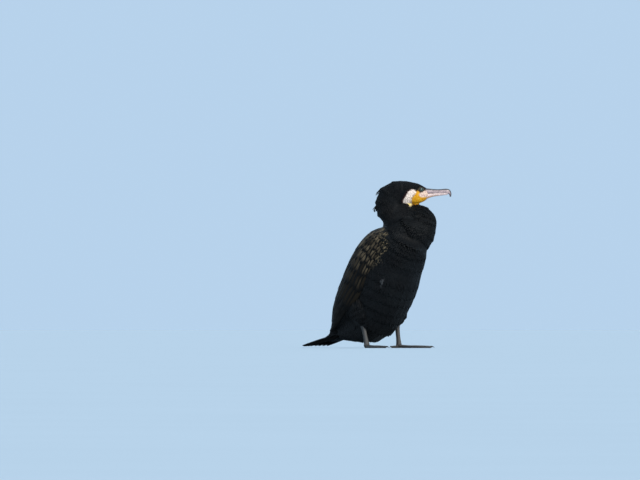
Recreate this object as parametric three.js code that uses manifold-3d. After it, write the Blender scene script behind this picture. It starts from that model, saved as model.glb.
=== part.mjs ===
// A great cormorant at life size, standing upright with its neck folded and its head turned to its left.
// Millimetres, +Z up, +X the way the body faces, +Y the bird's left, origin on the floor between the feet.
import * as THREE from "three";
import { ConvexGeometry } from "three/addons/geometries/ConvexGeometry.js";
import { mergeVertices } from "three/addons/utils/BufferGeometryUtils.js";
import Module from "manifold-3d";

const wasm = await Module();
wasm.setup();

// Driving dimensions
const MERGE = 0.1; // points nearer to their neighbours' plane than this are merged away
const GAP = 0.45; // how far a piece is cut back from its neighbour, which leaves at least 0.3 where they lie aslant
const HEAD_TURN = THREE.MathUtils.degToRad(38); // the head looks this far to the bird's left
const HEAD_DEPTH = -30; // where the head's own plane lies, measured along the head's left
const BODY_SQUARENESS = 2.35; // 2 is a round section, more is boxier
const FOOT_SPREAD = 50; // each foot from the midline
const FOOT_FORWARD = { 1: 20, [-1]: -14 }; // the left foot stands ahead of the right one
const EYE_RADIUS = 5.4;

const headForward = new THREE.Vector3(Math.cos(HEAD_TURN), Math.sin(HEAD_TURN), 0);
const headLeft = new THREE.Vector3(-Math.sin(HEAD_TURN), Math.cos(HEAD_TURN), 0);
const bodyLeft = new THREE.Vector3(0, 1, 0);

// A point given in the head's own plane: forward along the bill, to the head's left, and up.
function inHead(forward, left, up) {
  return new THREE.Vector3(0, 0, up)
    .addScaledVector(headForward, forward)
    .addScaledVector(headLeft, left + HEAD_DEPTH);
}

// Solids and meshes

function solidOf(geometry) {
  const bare = geometry.clone();
  for (const name of Object.keys(bare.attributes)) if (name !== "position") bare.deleteAttribute(name);
  const merged = mergeVertices(bare, 1e-4);
  return new wasm.Manifold(
    new wasm.Mesh({
      numProp: 3,
      vertProperties: merged.attributes.position.array,
      triVerts: new Uint32Array(merged.index.array),
    }),
  );
}

function geometryOf(solid) {
  const mesh = solid.getMesh();
  return new THREE.BufferGeometry()
    .setAttribute("position", new THREE.BufferAttribute(new Float32Array(mesh.vertProperties), 3))
    .setIndex(new THREE.BufferAttribute(new Uint32Array(mesh.triVerts), 1));
}

const joined = (solids) => solids.reduce((whole, piece) => whole.add(piece));
const cutBy = (solid, ...cutters) => cutters.reduce((left, cutter) => left.subtract(cutter), solid);
const largest = (solid) => solid.decompose().sort((a, b) => b.volume() - a.volume())[0];

// A closed surface over a grid of rings, with a point at each end.
function skinOf(rings, startPoint, endPoint) {
  const around = rings[0].length;
  const position = [];
  for (const ring of rings) for (const p of ring) position.push(p.x, p.y, p.z);
  const start = rings.length * around;
  position.push(startPoint.x, startPoint.y, startPoint.z, endPoint.x, endPoint.y, endPoint.z);
  const index = [];
  for (let j = 0; j < around; j++) {
    const next = (j + 1) % around;
    for (let i = 0; i + 1 < rings.length; i++) {
      const [a, b] = [i * around + j, i * around + next];
      index.push(a, b, b + around, a, b + around, a + around);
    }
    index.push(start, next, j);
    const last = (rings.length - 1) * around;
    index.push(start + 1, last + j, last + next);
  }
  return new THREE.BufferGeometry()
    .setAttribute("position", new THREE.Float32BufferAttribute(position, 3))
    .setIndex(index);
}

const signedPower = (value, power) => Math.sign(value) * Math.abs(value) ** power;

// A limb or body form swept through stations of {at, tall, wide}: its half height and half width across the way it
// runs. `left` is the direction of its width, `grow` a skin added all round, `square` the section's squareness and
// `under` how deep its lower half is beside its upper one.
class Form {
  constructor(stations, { left = bodyLeft, square = 2, under = 1, around = 24, steps = 4 } = {}) {
    this.curve = new THREE.CatmullRomCurve3(stations.map((s) => s.at), false, "centripetal");
    this.sizes = new THREE.CatmullRomCurve3(
      stations.map((s) => new THREE.Vector3(s.tall, s.wide, s.sag ?? 0)), false, "catmullrom", 0.5);
    Object.assign(this, { left, square, under, around, count: stations.length, steps });
  }
  // The centre, the two cross directions and the sizes a share t of the way along, by station number.
  frame(t) {
    const at = this.curve.getPoint(t);
    const along = this.curve.getTangent(t);
    const up = new THREE.Vector3().crossVectors(along, this.left).normalize();
    const side = new THREE.Vector3().crossVectors(up, along).normalize();
    const size = this.sizes.getPoint(t);
    return { at, along, up, side, tall: size.x, wide: size.y };
  }
  // A point on the surface, at an angle from the left side round over the top.
  point(t, angle, grow = 0) {
    const f = this.frame(t);
    const power = 2 / this.square;
    const tall = Math.sin(angle) < 0 ? f.tall * this.under : f.tall;
    return f.at
      .clone()
      .addScaledVector(f.side, (f.wide + grow) * signedPower(Math.cos(angle), power))
      .addScaledVector(f.up, (tall + grow) * signedPower(Math.sin(angle), power));
  }
  rings(grow) {
    const rows = (this.count - 1) * this.steps;
    return Array.from({ length: rows + 1 }, (_, i) =>
      Array.from({ length: this.around }, (_, j) => this.point(i / rows, (j / this.around) * 2 * Math.PI, grow)));
  }
  // For a form that bends more tightly than it is thick: each stretch is the hull of its two end rings.
  // Each runs a little into the next, so that no sliver stays between them.
  bentSolid(grow = 0) {
    const rings = this.rings(grow);
    const middles = rings.map((ring) => ring.reduce((sum, p) => sum.add(p), new THREE.Vector3()).divideScalar(ring.length));
    const bite = (i) => rings[i].map((p) => p.clone().lerp(middles[i], 0.03).lerp(middles[i + 1] ?? middles[i], 0.03));
    return joined(rings.slice(1).map((ring, i) => solidOf(new ConvexGeometry([...rings[i], ...ring, ...bite(i + 1)]))));
  }
  solid(grow = 0) {
    const rings = this.rings(grow);
    const [first, last] = [this.frame(0), this.frame(1)];
    const cap = (f, way) => f.at.clone().addScaledVector(f.along, way * (grow + 0.35 * Math.min(f.tall, f.wide)));
    const made = solidOf(skinOf(rings, cap(first, -1), cap(last, 1)));
    return made.volume() < 0 ? solidOf(skinOf(rings.map((r) => r.reverse()), cap(first, -1), cap(last, 1))) : made;
  }
}

// Feathers

const mix = THREE.MathUtils.lerp;
const random = seededRandom(11);
function seededRandom(seed) {
  let state = seed;
  return () => {
    state = (state * 1664525 + 1013904223) % 4294967296;
    return state / 4294967296;
  };
}
const jitter = (amount) => (random() - 0.5) * 2 * amount;

const CAMBER = 0.4; // how far a vane's edges lie under its middle
// One vane as a closed thin body from rows of {at, normal, half, top, bottom, tilt}: its middle line, the way it faces,
// its half width, how far its two faces lie from the line along that way, and how much its left edge is raised.
function vane(rows) {
  const position = [];
  rows.forEach((row, i) => {
    const along = rows[Math.min(i + 1, rows.length - 1)].at.clone().sub(rows[Math.max(i - 1, 0)].at).normalize();
    const side = new THREE.Vector3().crossVectors(row.normal, along).normalize();
    const edge = [[-1, row.top - CAMBER], [0, row.top], [1, row.top - CAMBER], [1, row.bottom], [-1, row.bottom]];
    for (const [across, rise] of edge) {
      const p = row.at
        .clone()
        .addScaledVector(side, across * row.half)
        .addScaledVector(row.normal, rise + across * row.tilt);
      position.push(p.x, p.y, p.z);
    }
  });
  const index = [];
  for (let i = 0; i + 1 < rows.length; i++)
    for (let a = 0; a < 5; a++) {
      const [b, base, next] = [(a + 1) % 5, i * 5, i * 5 + 5];
      index.push(base + a, base + b, next + b, base + a, next + b, next + a);
    }
  const last = (rows.length - 1) * 5;
  for (const [a, b, c] of [[0, 4, 1], [1, 4, 3], [1, 3, 2]]) {
    index.push(a, b, c);
    index.push(last + a, last + c, last + b);
  }
  const make = (order) =>
    solidOf(new THREE.BufferGeometry()
      .setAttribute("position", new THREE.Float32BufferAttribute(position, 3))
      .setIndex(order));
  const made = make(index);
  return made.volume() > 0 ? made : make(index.reverse());
}

const VANE_OUTLINE = [[0, 0.62], [0.45, 1], [0.86, 0.86], [1, 0.26]]; // share of length, of half width

// A vane that lies on a form's surface, from root to tip, each given as [share of the form's length, angle].
function vaneOnForm(form, side, { root, tip, half, rise = [-1.2, 1.8], depth = [2.5, 1.6], tilt = 0.6 }) {
  const surface = (share, grow) => {
    const angle = mix(root[1], tip[1], share);
    return form.point(mix(root[0], tip[0], share), side > 0 ? angle : Math.PI - angle, grow);
  };
  return vane(
    VANE_OUTLINE.map(([share, wide]) => {
      const at = surface(share, 0);
      const top = mix(rise[0], rise[1], share ** 0.8);
      return { at, normal: surface(share, 1).sub(at).normalize(), half: half * wide, top,
        bottom: top - mix(depth[0], depth[1], share), tilt: side * tilt };
    }),
  );
}

// A straight vane from root to tip, facing up.
function straightVane(root, tip, half, thick, tilt) {
  const way = tip.clone().sub(root).normalize();
  const normal = new THREE.Vector3(0, 0, 1).addScaledVector(way, -way.z).normalize();
  return vane(
    VANE_OUTLINE.map(([share, wide]) => ({ at: root.clone().lerp(tip, share), normal, half: half * wide, top: 0,
      bottom: -mix(thick[0], thick[1], share), tilt })),
  );
}

// A lock of a few fine feathers as a bent, tapered spike.
function lock(root, way, length, radius) {
  const sag = new THREE.Vector3(0, 0, -1);
  const points = [-0.25, 0.3, 0.7, 1].map((s) =>
    root.clone().addScaledVector(way, s * length).addScaledVector(sag, s * Math.abs(s) * length * 0.25));
  return new Form(points.map((at, i) => station(at, radius * [1, 0.85, 0.5, 0.18][i], radius * [1, 0.85, 0.5, 0.18][i])),
    { left: new THREE.Vector3().crossVectors(sag, way), around: 5, steps: 1 }).solid();
}

const station = (at, tall, wide) => ({ at, tall, wide });
const onMidline = (x, z, tall, wide) => station(new THREE.Vector3(x, 0, z), tall, wide);
const headStation = (forward, up, tall, wide, left = 0) => station(inHead(forward, left, up), tall, wide);

// Body, from the rump to the shoulders
const torsoForm = new Form(
  [
    onMidline(-142, 38, 9, 22),
    onMidline(-116, 44, 28, 38),
    onMidline(-79, 65, 60, 52),
    onMidline(-37, 97, 83, 67),
    onMidline(-12, 138, 90, 80),
    onMidline(11, 185, 92, 85),
    onMidline(32, 229, 88, 82),
    onMidline(56, 265, 81, 75),
    onMidline(75, 292, 72, 66),
    onMidline(88, 311, 58, 52),
  ],
  { square: BODY_SQUARENESS, around: 28, steps: 2 },
);

// The folded wings' outer surface: over the back and sides, and on past the rump to the wing tips
const WING_UNDER = 0.62;
const wingStations = [
  onMidline(-176, 41, 5, 13),
  onMidline(-153, 49, 12, 32),
  onMidline(-127, 65, 27, 55),
  onMidline(-97, 93, 50, 76),
  onMidline(-65, 126, 66, 87),
  onMidline(-34, 164, 75, 91),
  onMidline(-10, 208, 76, 90),
  onMidline(14, 247, 74, 85),
  onMidline(42, 281, 66, 74),
  onMidline(66, 312, 40, 46),
];
const wingForm = new Form(wingStations, { square: BODY_SQUARENESS, under: WING_UNDER, around: 24, steps: 1 });
// The same without its last stretch, where only feathers reach
const wingCore = new Form(wingStations.slice(1), { square: BODY_SQUARENESS, under: WING_UNDER, around: 24, steps: 1 });

const lowerNeckForm = new Form(
  [
    onMidline(50, 278, 58, 56),
    onMidline(72, 300, 60, 54),
    station(inHead(91, -8, 320), 59, 50),
    station(inHead(103, -5, 338), 48.5, 42),
    station(inHead(105, -3, 352), 44, 38),
  ],
  { left: headLeft, around: 20, steps: 2 },
);
const NECK_BULGE = { at: inHead(100, -3, 349.5), forward: 44, wide: 38, up: 45 };

const neckFoldForm = new Form(
  [headStation(96, 353, 39, 35, -3), headStation(74, 357, 38, 35), headStation(50, 360, 37, 35),
    headStation(30, 369, 34, 33)],
  { left: headLeft, around: 20, steps: 1 },
);

const upperNeckForm = new Form(
  [headStation(32, 362, 33, 32), headStation(19, 380, 36, 32), headStation(14, 400, 33, 31),
    headStation(22, 419, 33, 29), headStation(40, 429, 31, 27), headStation(56, 430, 30, 26)],
  { left: headLeft, around: 20, steps: 1 },
);

const headForm = new Form(
  [
    headStation(46, 429, 31, 25),
    headStation(64, 427, 32, 26),
    headStation(82, 424.5, 31, 24),
    headStation(100, 423.5, 28, 19.5),
    headStation(114, 424, 21.5, 15),
    headStation(125, 425.5, 14.5, 11.5),
  ],
  { left: headLeft, around: 20, steps: 2 },
);

const upperBillForm = new Form(
  [
    headStation(108, 431, 8.5, 10.5),
    headStation(124, 431, 7.6, 9.2),
    headStation(142, 430.4, 6.4, 7.4),
    headStation(160, 430.4, 6, 6.2),
    headStation(174, 431.2, 6.4, 5.6),
    headStation(182, 429.6, 6.4, 4.8),
    headStation(187, 423.5, 3.6, 3.2),
    headStation(188, 415.6, 1.5, 1.4),
  ],
  { left: headLeft, around: 16, steps: 2 },
);

const lowerBillForm = new Form(
  [
    headStation(104, 412, 9.5, 10.5),
    headStation(118, 416, 8, 9.5),
    headStation(136, 420, 5.4, 7.2),
    headStation(154, 421.8, 4.2, 5.6),
    headStation(170, 423.2, 3.8, 4.6),
    headStation(180.5, 424, 2.8, 3.4),
  ],
  { left: headLeft, around: 14, steps: 2 },
);

const gularForm = new Form(
  [
    headStation(84, 407, 12, 17),
    headStation(96, 406.5, 10.5, 15.5),
    headStation(108, 409, 7.8, 12),
    headStation(124, 414.5, 4.5, 7.5),
  ],
  { left: headLeft, around: 16, steps: 2 },
);

// Legs

const ANKLE_BACK = { 1: 7, [-1]: 14 }; // each ankle behind its foot
const hub = (side) => new THREE.Vector3(FOOT_FORWARD[side], side * FOOT_SPREAD, 9);
const ankle = (side) => new THREE.Vector3(FOOT_FORWARD[side] - ANKLE_BACK[side], side * FOOT_SPREAD, 66);

function thighForm(side) {
  const end = ankle(side);
  return new Form(
    [
      station(new THREE.Vector3(end.x - 17, side * 52, 142), 45, 31),
      station(new THREE.Vector3(end.x - 9, side * 56, 112), 41, 29),
      station(new THREE.Vector3(end.x - 1, side * 56, 88), 29, 22),
      station(new THREE.Vector3(end.x + 1, side * 51, 67), 12, 11),
    ],
    { around: 16, steps: 2 },
  );
}

function tarsusForm(side) {
  const [top, foot] = [ankle(side), hub(side)];
  const partWay = (share, tall, wide) => station(top.clone().lerp(foot, share), tall, wide);
  return new Form(
    [partWay(-0.08, 7, 6), partWay(0.06, 8.4, 6.8), partWay(0.3, 6.9, 5), partWay(0.7, 6.7, 4.8), partWay(1, 8.4, 6.6)],
    { around: 12, steps: 2 },
  );
}

// Each toe: its length, the way it points from straight ahead (outwards is positive) and its thickness at the root
const TOES = [
  { name: "outer", length: 88, turn: 34, thick: 5 },
  { name: "middle", length: 78, turn: 10, thick: 5 },
  { name: "inner", length: 56, turn: -16, thick: 4.6 },
  { name: "hind", length: 34, turn: -88, thick: 4.2 },
];
const CLAW = 10;

function toeWay(side, turn) {
  const angle = side * THREE.MathUtils.degToRad(turn);
  return new THREE.Vector3(Math.cos(angle), Math.sin(angle), 0);
}

function footSolid(side) {
  const root = hub(side).setZ(0);
  const toeTip = (toe) => root.clone().addScaledVector(toeWay(side, toe.turn), toe.length);
  const toes = TOES.map((toe) => {
    const way = toeWay(side, toe.turn);
    const partWay = (share, up, size) =>
      station(root.clone().addScaledVector(way, toe.length * share).setZ(up), size, size);
    return new Form(
      [partWay(-0.04, 5, toe.thick), partWay(0.3, 3.2, toe.thick * 0.8), partWay(0.62, 3, toe.thick * 0.78),
        partWay(0.94, 2.6, toe.thick * 0.62), partWay(1 + (0.6 * CLAW) / toe.length, 3.6, 2),
        partWay(1 + CLAW / toe.length, 1.6, 0.8)],
      { left: new THREE.Vector3().crossVectors(new THREE.Vector3(0, 0, 1), way), around: 8, steps: 1 },
    ).solid();
  });
  const web = new THREE.Shape();
  web.moveTo(root.x - 5, root.y + side * 3);
  const order = TOES.map(toeTip);
  order.forEach((tip, i) => {
    if (i === 0) web.lineTo(tip.x, tip.y);
    else {
      const between = tip.clone().add(order[i - 1]).multiplyScalar(0.5).lerp(root, 0.2);
      web.quadraticCurveTo(between.x, between.y, tip.x, tip.y);
    }
  });
  web.closePath();
  const sheet = new THREE.ExtrudeGeometry(web, { depth: 1.6, bevelEnabled: false, curveSegments: 4 });
  const knuckle = new THREE.SphereGeometry(8, 12, 8).scale(1.15, 0.95, 1).translate(root.x, root.y, 6);
  return joined([solidOf(sheet), solidOf(knuckle), ...toes]);
}

const aboveFloor = solidOf(new THREE.BoxGeometry(900, 500, 700).translate(0, 0, 350));

// Tail: stiff feathers in a closed fan, the middle pair on top and the outer ones lying on the floor
const TAIL_PAIRS = 7;
const TAIL_LENGTH = 148; // the middle pair, from its root
const tailRootForm = new Form(
  [onMidline(-112, 42, 16, 30), onMidline(-136, 38, 16, 30), onMidline(-162, 30, 12.5, 29), onMidline(-184, 23.5, 8.5, 27),
    onMidline(-198, 19, 5, 22)],
  { around: 18, steps: 1 },
);

function rectrix(side, pair, grow) {
  const yaw = THREE.MathUtils.degToRad(1.1 + pair * 1.75);
  const length = TAIL_LENGTH - 3.2 * pair - 0.8 * pair ** 2;
  const root = new THREE.Vector3(-126, side * (2.5 + pair * 2.7), 45 - pair * 1.9);
  const tip = root.clone().add(new THREE.Vector3(-Math.cos(yaw) * length, side * Math.sin(yaw) * length, 0));
  tip.z = 1.1 + 1.0 * (TAIL_PAIRS - 1 - pair) + (side > 0 ? 0.5 : 0);
  return straightVane(root, tip, 9 + grow, [2.8 + grow, 1.5 + grow], side * -0.5);
}

function tailSolid(grow = 0) {
  const pieces = [tailRootForm.solid(grow)];
  for (const side of [1, -1])
    for (let pair = 0; pair < TAIL_PAIRS; pair++) pieces.push(rectrix(side, pair, grow));
  return joined(pieces);
}

// Folded wing: tiers of vanes from the shoulder back to the tips, each tier over the roots of the one behind it.
// Every tier runs from the wing's outer edge to the middle of the back; first and last give its two ends.
const WING_TIERS = [
  { name: "primaries", count: 5, half: 9.5, depth: [3, 1], rise: [-1, 1.4],
    first: { root: [0.44, -0.28], tip: [0.115, -0.15] }, last: { root: [0.4, 0.62], tip: [0.008, 1.05] } },
  { name: "secondaries", count: 6, half: 12, depth: [3, 1.2], rise: [-1.2, 2],
    first: { root: [0.58, 0.02], tip: [0.26, 0.12] }, last: { root: [0.54, 1.4], tip: [0.1, 1.42] } },
  { name: "greater coverts", count: 6, half: 12.5, depth: [3, 3], rise: [-1.6, 2],
    first: { root: [0.68, -0.42], tip: [0.41, -0.34] }, last: { root: [0.66, 1.38], tip: [0.36, 1.4] } },
  { name: "median coverts", count: 6, half: 13, depth: [3, 3], rise: [-1.6, 2],
    first: { root: [0.8, -0.5], tip: [0.58, -0.44] }, last: { root: [0.8, 1.36], tip: [0.56, 1.38] } },
  { name: "scapulars", count: 5, half: 14, depth: [3, 3], rise: [-1.6, 2.2],
    first: { root: [0.93, 0.1], tip: [0.74, -0.02] }, last: { root: [0.93, 1.3], tip: [0.72, 1.34] } },
];

function wingVanes(side) {
  const between = (a, b, share) => [mix(a[0], b[0], share), mix(a[1], b[1], share)];
  return WING_TIERS.flatMap((tier) =>
    Array.from({ length: tier.count }, (_, i) => {
      const share = i / (tier.count - 1);
      const root = between(tier.first.root, tier.last.root, share);
      const tip = between(tier.first.tip, tier.last.tip, share);
      tip[0] += jitter(0.008);
      return vaneOnForm(wingForm, side, { ...tier, root, tip });
    }));
}

const eyeAt = (way) => inHead(108, way * 12.4, 435);
const eyeSolid = (way, grow = 0) => {
  const at = eyeAt(way);
  return solidOf(new THREE.SphereGeometry(EYE_RADIUS + grow, 14, 8).translate(at.x, at.y, at.z));
};
// A thick rim of bare skin round the eye
const lidSolid = (way) => {
  const at = eyeAt(way);
  const turned = new THREE.TorusGeometry(EYE_RADIUS * 0.86, 1.5, 5, 12).rotateX(Math.PI / 2 + way * 0.1).rotateZ(HEAD_TURN);
  return solidOf(turned.translate(...at.clone().addScaledVector(headLeft, way * 2.6).toArray()));
};
// A short closed slit where the nostril lies
const nostrilCut = (way) => {
  const at = inHead(127, way * 7.2, 429.6);
  return solidOf(new THREE.BoxGeometry(7, 1.6, 0.9).rotateZ(HEAD_TURN).translate(at.x, at.y, at.z));
};

// Wisps at the nape, in two bunches
const NAPE = [{ at: inHead(-8, 0, 424), count: 5 }, { at: inHead(-16, 0, 388), count: 4 }];
function napeLocks() {
  const back = headForward.clone().negate().add(new THREE.Vector3(0, 0, -0.75)).normalize();
  return NAPE.flatMap(({ at, count }) =>
    Array.from({ length: count }, (_, i) => {
      const off = (i - (count - 1) / 2) * 4.6;
      const root = at.clone().addScaledVector(headLeft, off).addScaledVector(headForward, 0.035 * off * off + 3);
      root.z += jitter(4);
      return lock(root, back.clone().addScaledVector(headLeft, off * 0.03).normalize(), 12 + jitter(2.5), 2);
    }));
}

function halfSpace(way) {
  return solidOf(new THREE.BoxGeometry(900, 300, 700).translate(0, way * (150 + GAP / 2), 300));
}

// Assembly: each piece is cut clear of those it meets
function neckBulge(grow) {
  const ball = new THREE.SphereGeometry(1, 18, 10)
    .scale(NECK_BULGE.forward + grow, NECK_BULGE.wide + grow, NECK_BULGE.up + grow)
    .rotateZ(HEAD_TURN)
    .translate(...NECK_BULGE.at.toArray());
  return solidOf(ball);
}
const lowerNeckWhole = (grow) =>
  joined([lowerNeckForm.bentSolid(grow), neckBulge(grow), neckFoldForm.bentSolid(grow)]);
const billsGrown = [upperBillForm.solid(GAP), lowerBillForm.solid(GAP)];
const eyesGrown = [eyeSolid(1, GAP), eyeSolid(-1, GAP)];

const solids = {
  torso: torsoForm.solid(),
  neck_lower: cutBy(lowerNeckWhole(0), torsoForm.solid(GAP)),
  neck_upper: cutBy(joined([upperNeckForm.bentSolid(), ...napeLocks()]), lowerNeckWhole(GAP), torsoForm.solid(GAP)),
  head: cutBy(joined([headForm.solid(), lidSolid(1), lidSolid(-1)]), upperNeckForm.bentSolid(GAP), lowerNeckWhole(GAP),
    ...billsGrown, gularForm.solid(GAP), ...eyesGrown),
  bill_upper: cutBy(upperBillForm.solid(), nostrilCut(1), nostrilCut(-1), ...eyesGrown),
  bill_lower: cutBy(lowerBillForm.solid(), upperBillForm.solid(GAP)),
  gular_pouch: cutBy(gularForm.solid(), ...billsGrown, lowerNeckWhole(GAP), upperNeckForm.bentSolid(GAP)),
  eye_left: eyeSolid(1),
  eye_right: eyeSolid(-1),
  tail: cutBy(tailSolid().intersect(aboveFloor), torsoForm.solid(GAP)),
};

for (const [name, side] of [["left", 1], ["right", -1]]) {
  solids["thigh_" + name] = cutBy(thighForm(side).solid(), torsoForm.solid(GAP));
  solids["tarsus_" + name] = cutBy(tarsusForm(side).solid(), thighForm(side).solid(GAP), torsoForm.solid(GAP));
  solids["foot_" + name] = cutBy(footSolid(side).intersect(aboveFloor), tarsusForm(side).solid(GAP));
  solids["wing_" + name] = cutBy(joined([wingCore.solid(), ...wingVanes(side)]).intersect(halfSpace(side)),
    torsoForm.solid(GAP), lowerNeckWhole(GAP), upperNeckForm.bentSolid(GAP), tailSolid(GAP), thighForm(side).solid(GAP));
}

// Looks

const plumage = new THREE.MeshStandardMaterial({ color: 0x111214, roughness: 0.45, metalness: 0 });
const covert = new THREE.MeshStandardMaterial({ color: 0x2b2520, roughness: 0.5, metalness: 0 });
const horn = new THREE.MeshStandardMaterial({ color: 0xa99a98, roughness: 0.45, metalness: 0 });
const throat = new THREE.MeshStandardMaterial({ color: 0xd9951c, roughness: 0.6, metalness: 0 });
const iris = new THREE.MeshStandardMaterial({ color: 0x1f6a58, roughness: 0.1, metalness: 0 });
const leather = new THREE.MeshStandardMaterial({ color: 0x2a2726, roughness: 0.55, metalness: 0 });

function materialFor(name) {
  if (name.startsWith("bill")) return horn;
  if (name.startsWith("gular")) return throat;
  if (name.startsWith("eye")) return iris;
  if (name.startsWith("wing")) return covert;
  if (name.startsWith("foot") || name.startsWith("tarsus")) return leather;
  return plumage;
}

const cormorant = new THREE.Group();
for (const [name, solid] of Object.entries(solids)) {
  const mesh = new THREE.Mesh(geometryOf(largest(largest(solid).simplify(MERGE))), materialFor(name));
  mesh.name = name;
  cormorant.add(mesh);
}

// The origin goes to the floor under the middle of the object's box
const middle = new THREE.Box3().setFromObject(cormorant).getCenter(new THREE.Vector3());
for (const mesh of cormorant.children) mesh.geometry.translate(-middle.x, -middle.y, 0);

export default cormorant;
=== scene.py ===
"""A great cormorant as a life-size still model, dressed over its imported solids.

Lengths are metres in Blender and millimetres in the sizes named below, which follow the solids: +X is the
way the body faces, +Y the bird's left, +Z up. The head's own plane is turned to the left, and places on the
head are given as forward along the bill, to the head's left, and up.
"""

from __future__ import annotations

import logging
import math
from collections.abc import Callable
from dataclasses import dataclass, field
from enum import Enum

import bmesh
import bpy
import numpy as np
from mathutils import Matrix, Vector
from mathutils.kdtree import KDTree

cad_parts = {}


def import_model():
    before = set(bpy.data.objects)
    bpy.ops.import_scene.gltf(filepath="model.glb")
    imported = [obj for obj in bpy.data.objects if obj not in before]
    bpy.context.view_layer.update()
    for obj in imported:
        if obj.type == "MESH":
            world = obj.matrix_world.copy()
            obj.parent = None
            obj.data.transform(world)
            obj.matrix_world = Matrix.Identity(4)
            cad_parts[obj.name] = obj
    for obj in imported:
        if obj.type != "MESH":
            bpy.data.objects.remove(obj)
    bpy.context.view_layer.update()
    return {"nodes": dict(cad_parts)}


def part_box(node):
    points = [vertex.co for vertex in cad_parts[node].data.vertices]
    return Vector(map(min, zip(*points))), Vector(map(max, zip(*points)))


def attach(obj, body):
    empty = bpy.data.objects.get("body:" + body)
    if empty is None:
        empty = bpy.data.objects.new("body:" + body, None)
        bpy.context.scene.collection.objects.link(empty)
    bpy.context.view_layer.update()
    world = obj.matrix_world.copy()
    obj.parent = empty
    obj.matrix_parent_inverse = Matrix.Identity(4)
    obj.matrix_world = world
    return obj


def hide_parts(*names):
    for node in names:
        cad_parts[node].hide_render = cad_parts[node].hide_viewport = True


LOG = logging.getLogger("cormorant")
MM = 0.001
BODY = "root"
HEAD_TURN = math.radians(38.0)
HEAD_DEPTH = -30.0
EYE_FORWARD, EYE_OUT, EYE_UP, EYE_RADIUS = 108.0, 12.4, 435.0, 5.4
FORWARD = np.array([math.cos(HEAD_TURN), math.sin(HEAD_TURN), 0.0])
LEFTWARD = np.array([-math.sin(HEAD_TURN), math.cos(HEAD_TURN), 0.0])
UP = np.array([0.0, 0.0, 1.0])
FLAT = np.array([1.0, 1.0, 0.0])
FINE_STEPS = 400
Array = np.ndarray
Relief = Callable[[Array, Array], Array]
Colour = tuple[float, ...]
Station = tuple[float, ...]


class Side(Enum):
    """The bird's own left or right, as the sign of Y."""

    LEFT = 1
    RIGHT = -1

    @property
    def word(self) -> str:
        """The side's name in a node."""
        return self.name.lower()


class Place:
    """Where the sizes' origin, between the feet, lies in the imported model."""

    shift = np.zeros(3)

    @classmethod
    def settle(cls) -> None:
        """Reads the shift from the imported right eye's middle."""
        low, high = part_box("eye_right")
        cls.shift = (np.array(low) + np.array(high)) / 2.0 / MM - head_point(EYE_FORWARD, -EYE_OUT, EYE_UP)

    @classmethod
    def metres(cls, points: Array) -> Array:
        """Turns places in millimetres into the model's metres."""
        return (np.asarray(points, dtype=float) + cls.shift) * MM

    @classmethod
    def millimetres(cls, points: Array) -> Array:
        """Turns the model's metres into places in millimetres."""
        return np.asarray(points, dtype=float) / MM - cls.shift


def head_point(forward: float, left: float, up: float) -> Array:
    """Gives the place of a point on the head.

    Args:
        forward: Distance along the bill.
        left: Distance to the head's left.
        up: Height over the floor.

    Returns:
        The place in millimetres.
    """
    return FORWARD * forward + LEFTWARD * (left + HEAD_DEPTH) + UP * up


def head_measure(points: Array) -> Array:
    """Turns places in millimetres into (forward, left, up) on the head."""
    return np.stack([points @ FORWARD, points @ LEFTWARD - HEAD_DEPTH, points[:, 2]], axis=1)


def smooth_step(low: float, high: float, value: Array) -> Array:
    """Rises from 0 at low to 1 at high without a corner."""
    share = np.clip((value - low) / (high - low), 0.0, 1.0)
    return share * share * (3.0 - 2.0 * share)


def unit(vectors: Array) -> Array:
    """Gives directions of length 1."""
    return vectors / np.linalg.norm(vectors, axis=-1)[..., None]


def circle(count: int) -> Array:
    """Gives evenly spaced angles of one whole turn."""
    return np.linspace(0.0, math.tau, count, endpoint=False)


def linked(name: str, data: bpy.types.ID) -> bpy.types.Object:
    """Makes an object of a mesh, lamp or camera and puts it in the scene."""
    made = bpy.data.objects.new(name, data)
    bpy.context.scene.collection.objects.link(made)
    return made


def cubic_through(points: Array, shares: Array, centripetal: bool) -> Array:
    """Follows a smooth curve through points.

    Args:
        points: One row for each point.
        shares: Where to read the curve, 0 at its start and 1 at its end.
        centripetal: Whether the knots are spaced by distance, as a path needs.

    Returns:
        One row for each share.
    """
    count = len(points)
    ends = np.vstack([2 * points[0] - points[1], points, 2 * points[-1] - points[-2]])
    place = np.clip(shares, 0.0, 1.0) * (count - 1)
    first = np.minimum(place.astype(int), count - 2)
    weight = (place - first)[:, None]
    p0, p1, p2, p3 = (ends[first + i] for i in range(4))
    if centripetal:
        d0, d1, d2 = (np.maximum(np.linalg.norm(b - a, axis=1), 1e-4)[:, None] ** 0.5
                      for a, b in ((p0, p1), (p1, p2), (p2, p3)))
        out = ((p1 - p0) / d0 - (p2 - p0) / (d0 + d1) + (p2 - p1) / d1) * d1
        into = ((p2 - p1) / d1 - (p3 - p1) / (d1 + d2) + (p3 - p2) / d2) * d1
    else:
        out, into = (p2 - p0) * 0.5, (p3 - p1) * 0.5
    bend = -3 * p1 + 3 * p2 - 2 * out - into
    twist = 2 * p1 - 2 * p2 + out + into
    return p1 + out * weight + bend * weight**2 + twist * weight**3


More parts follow.
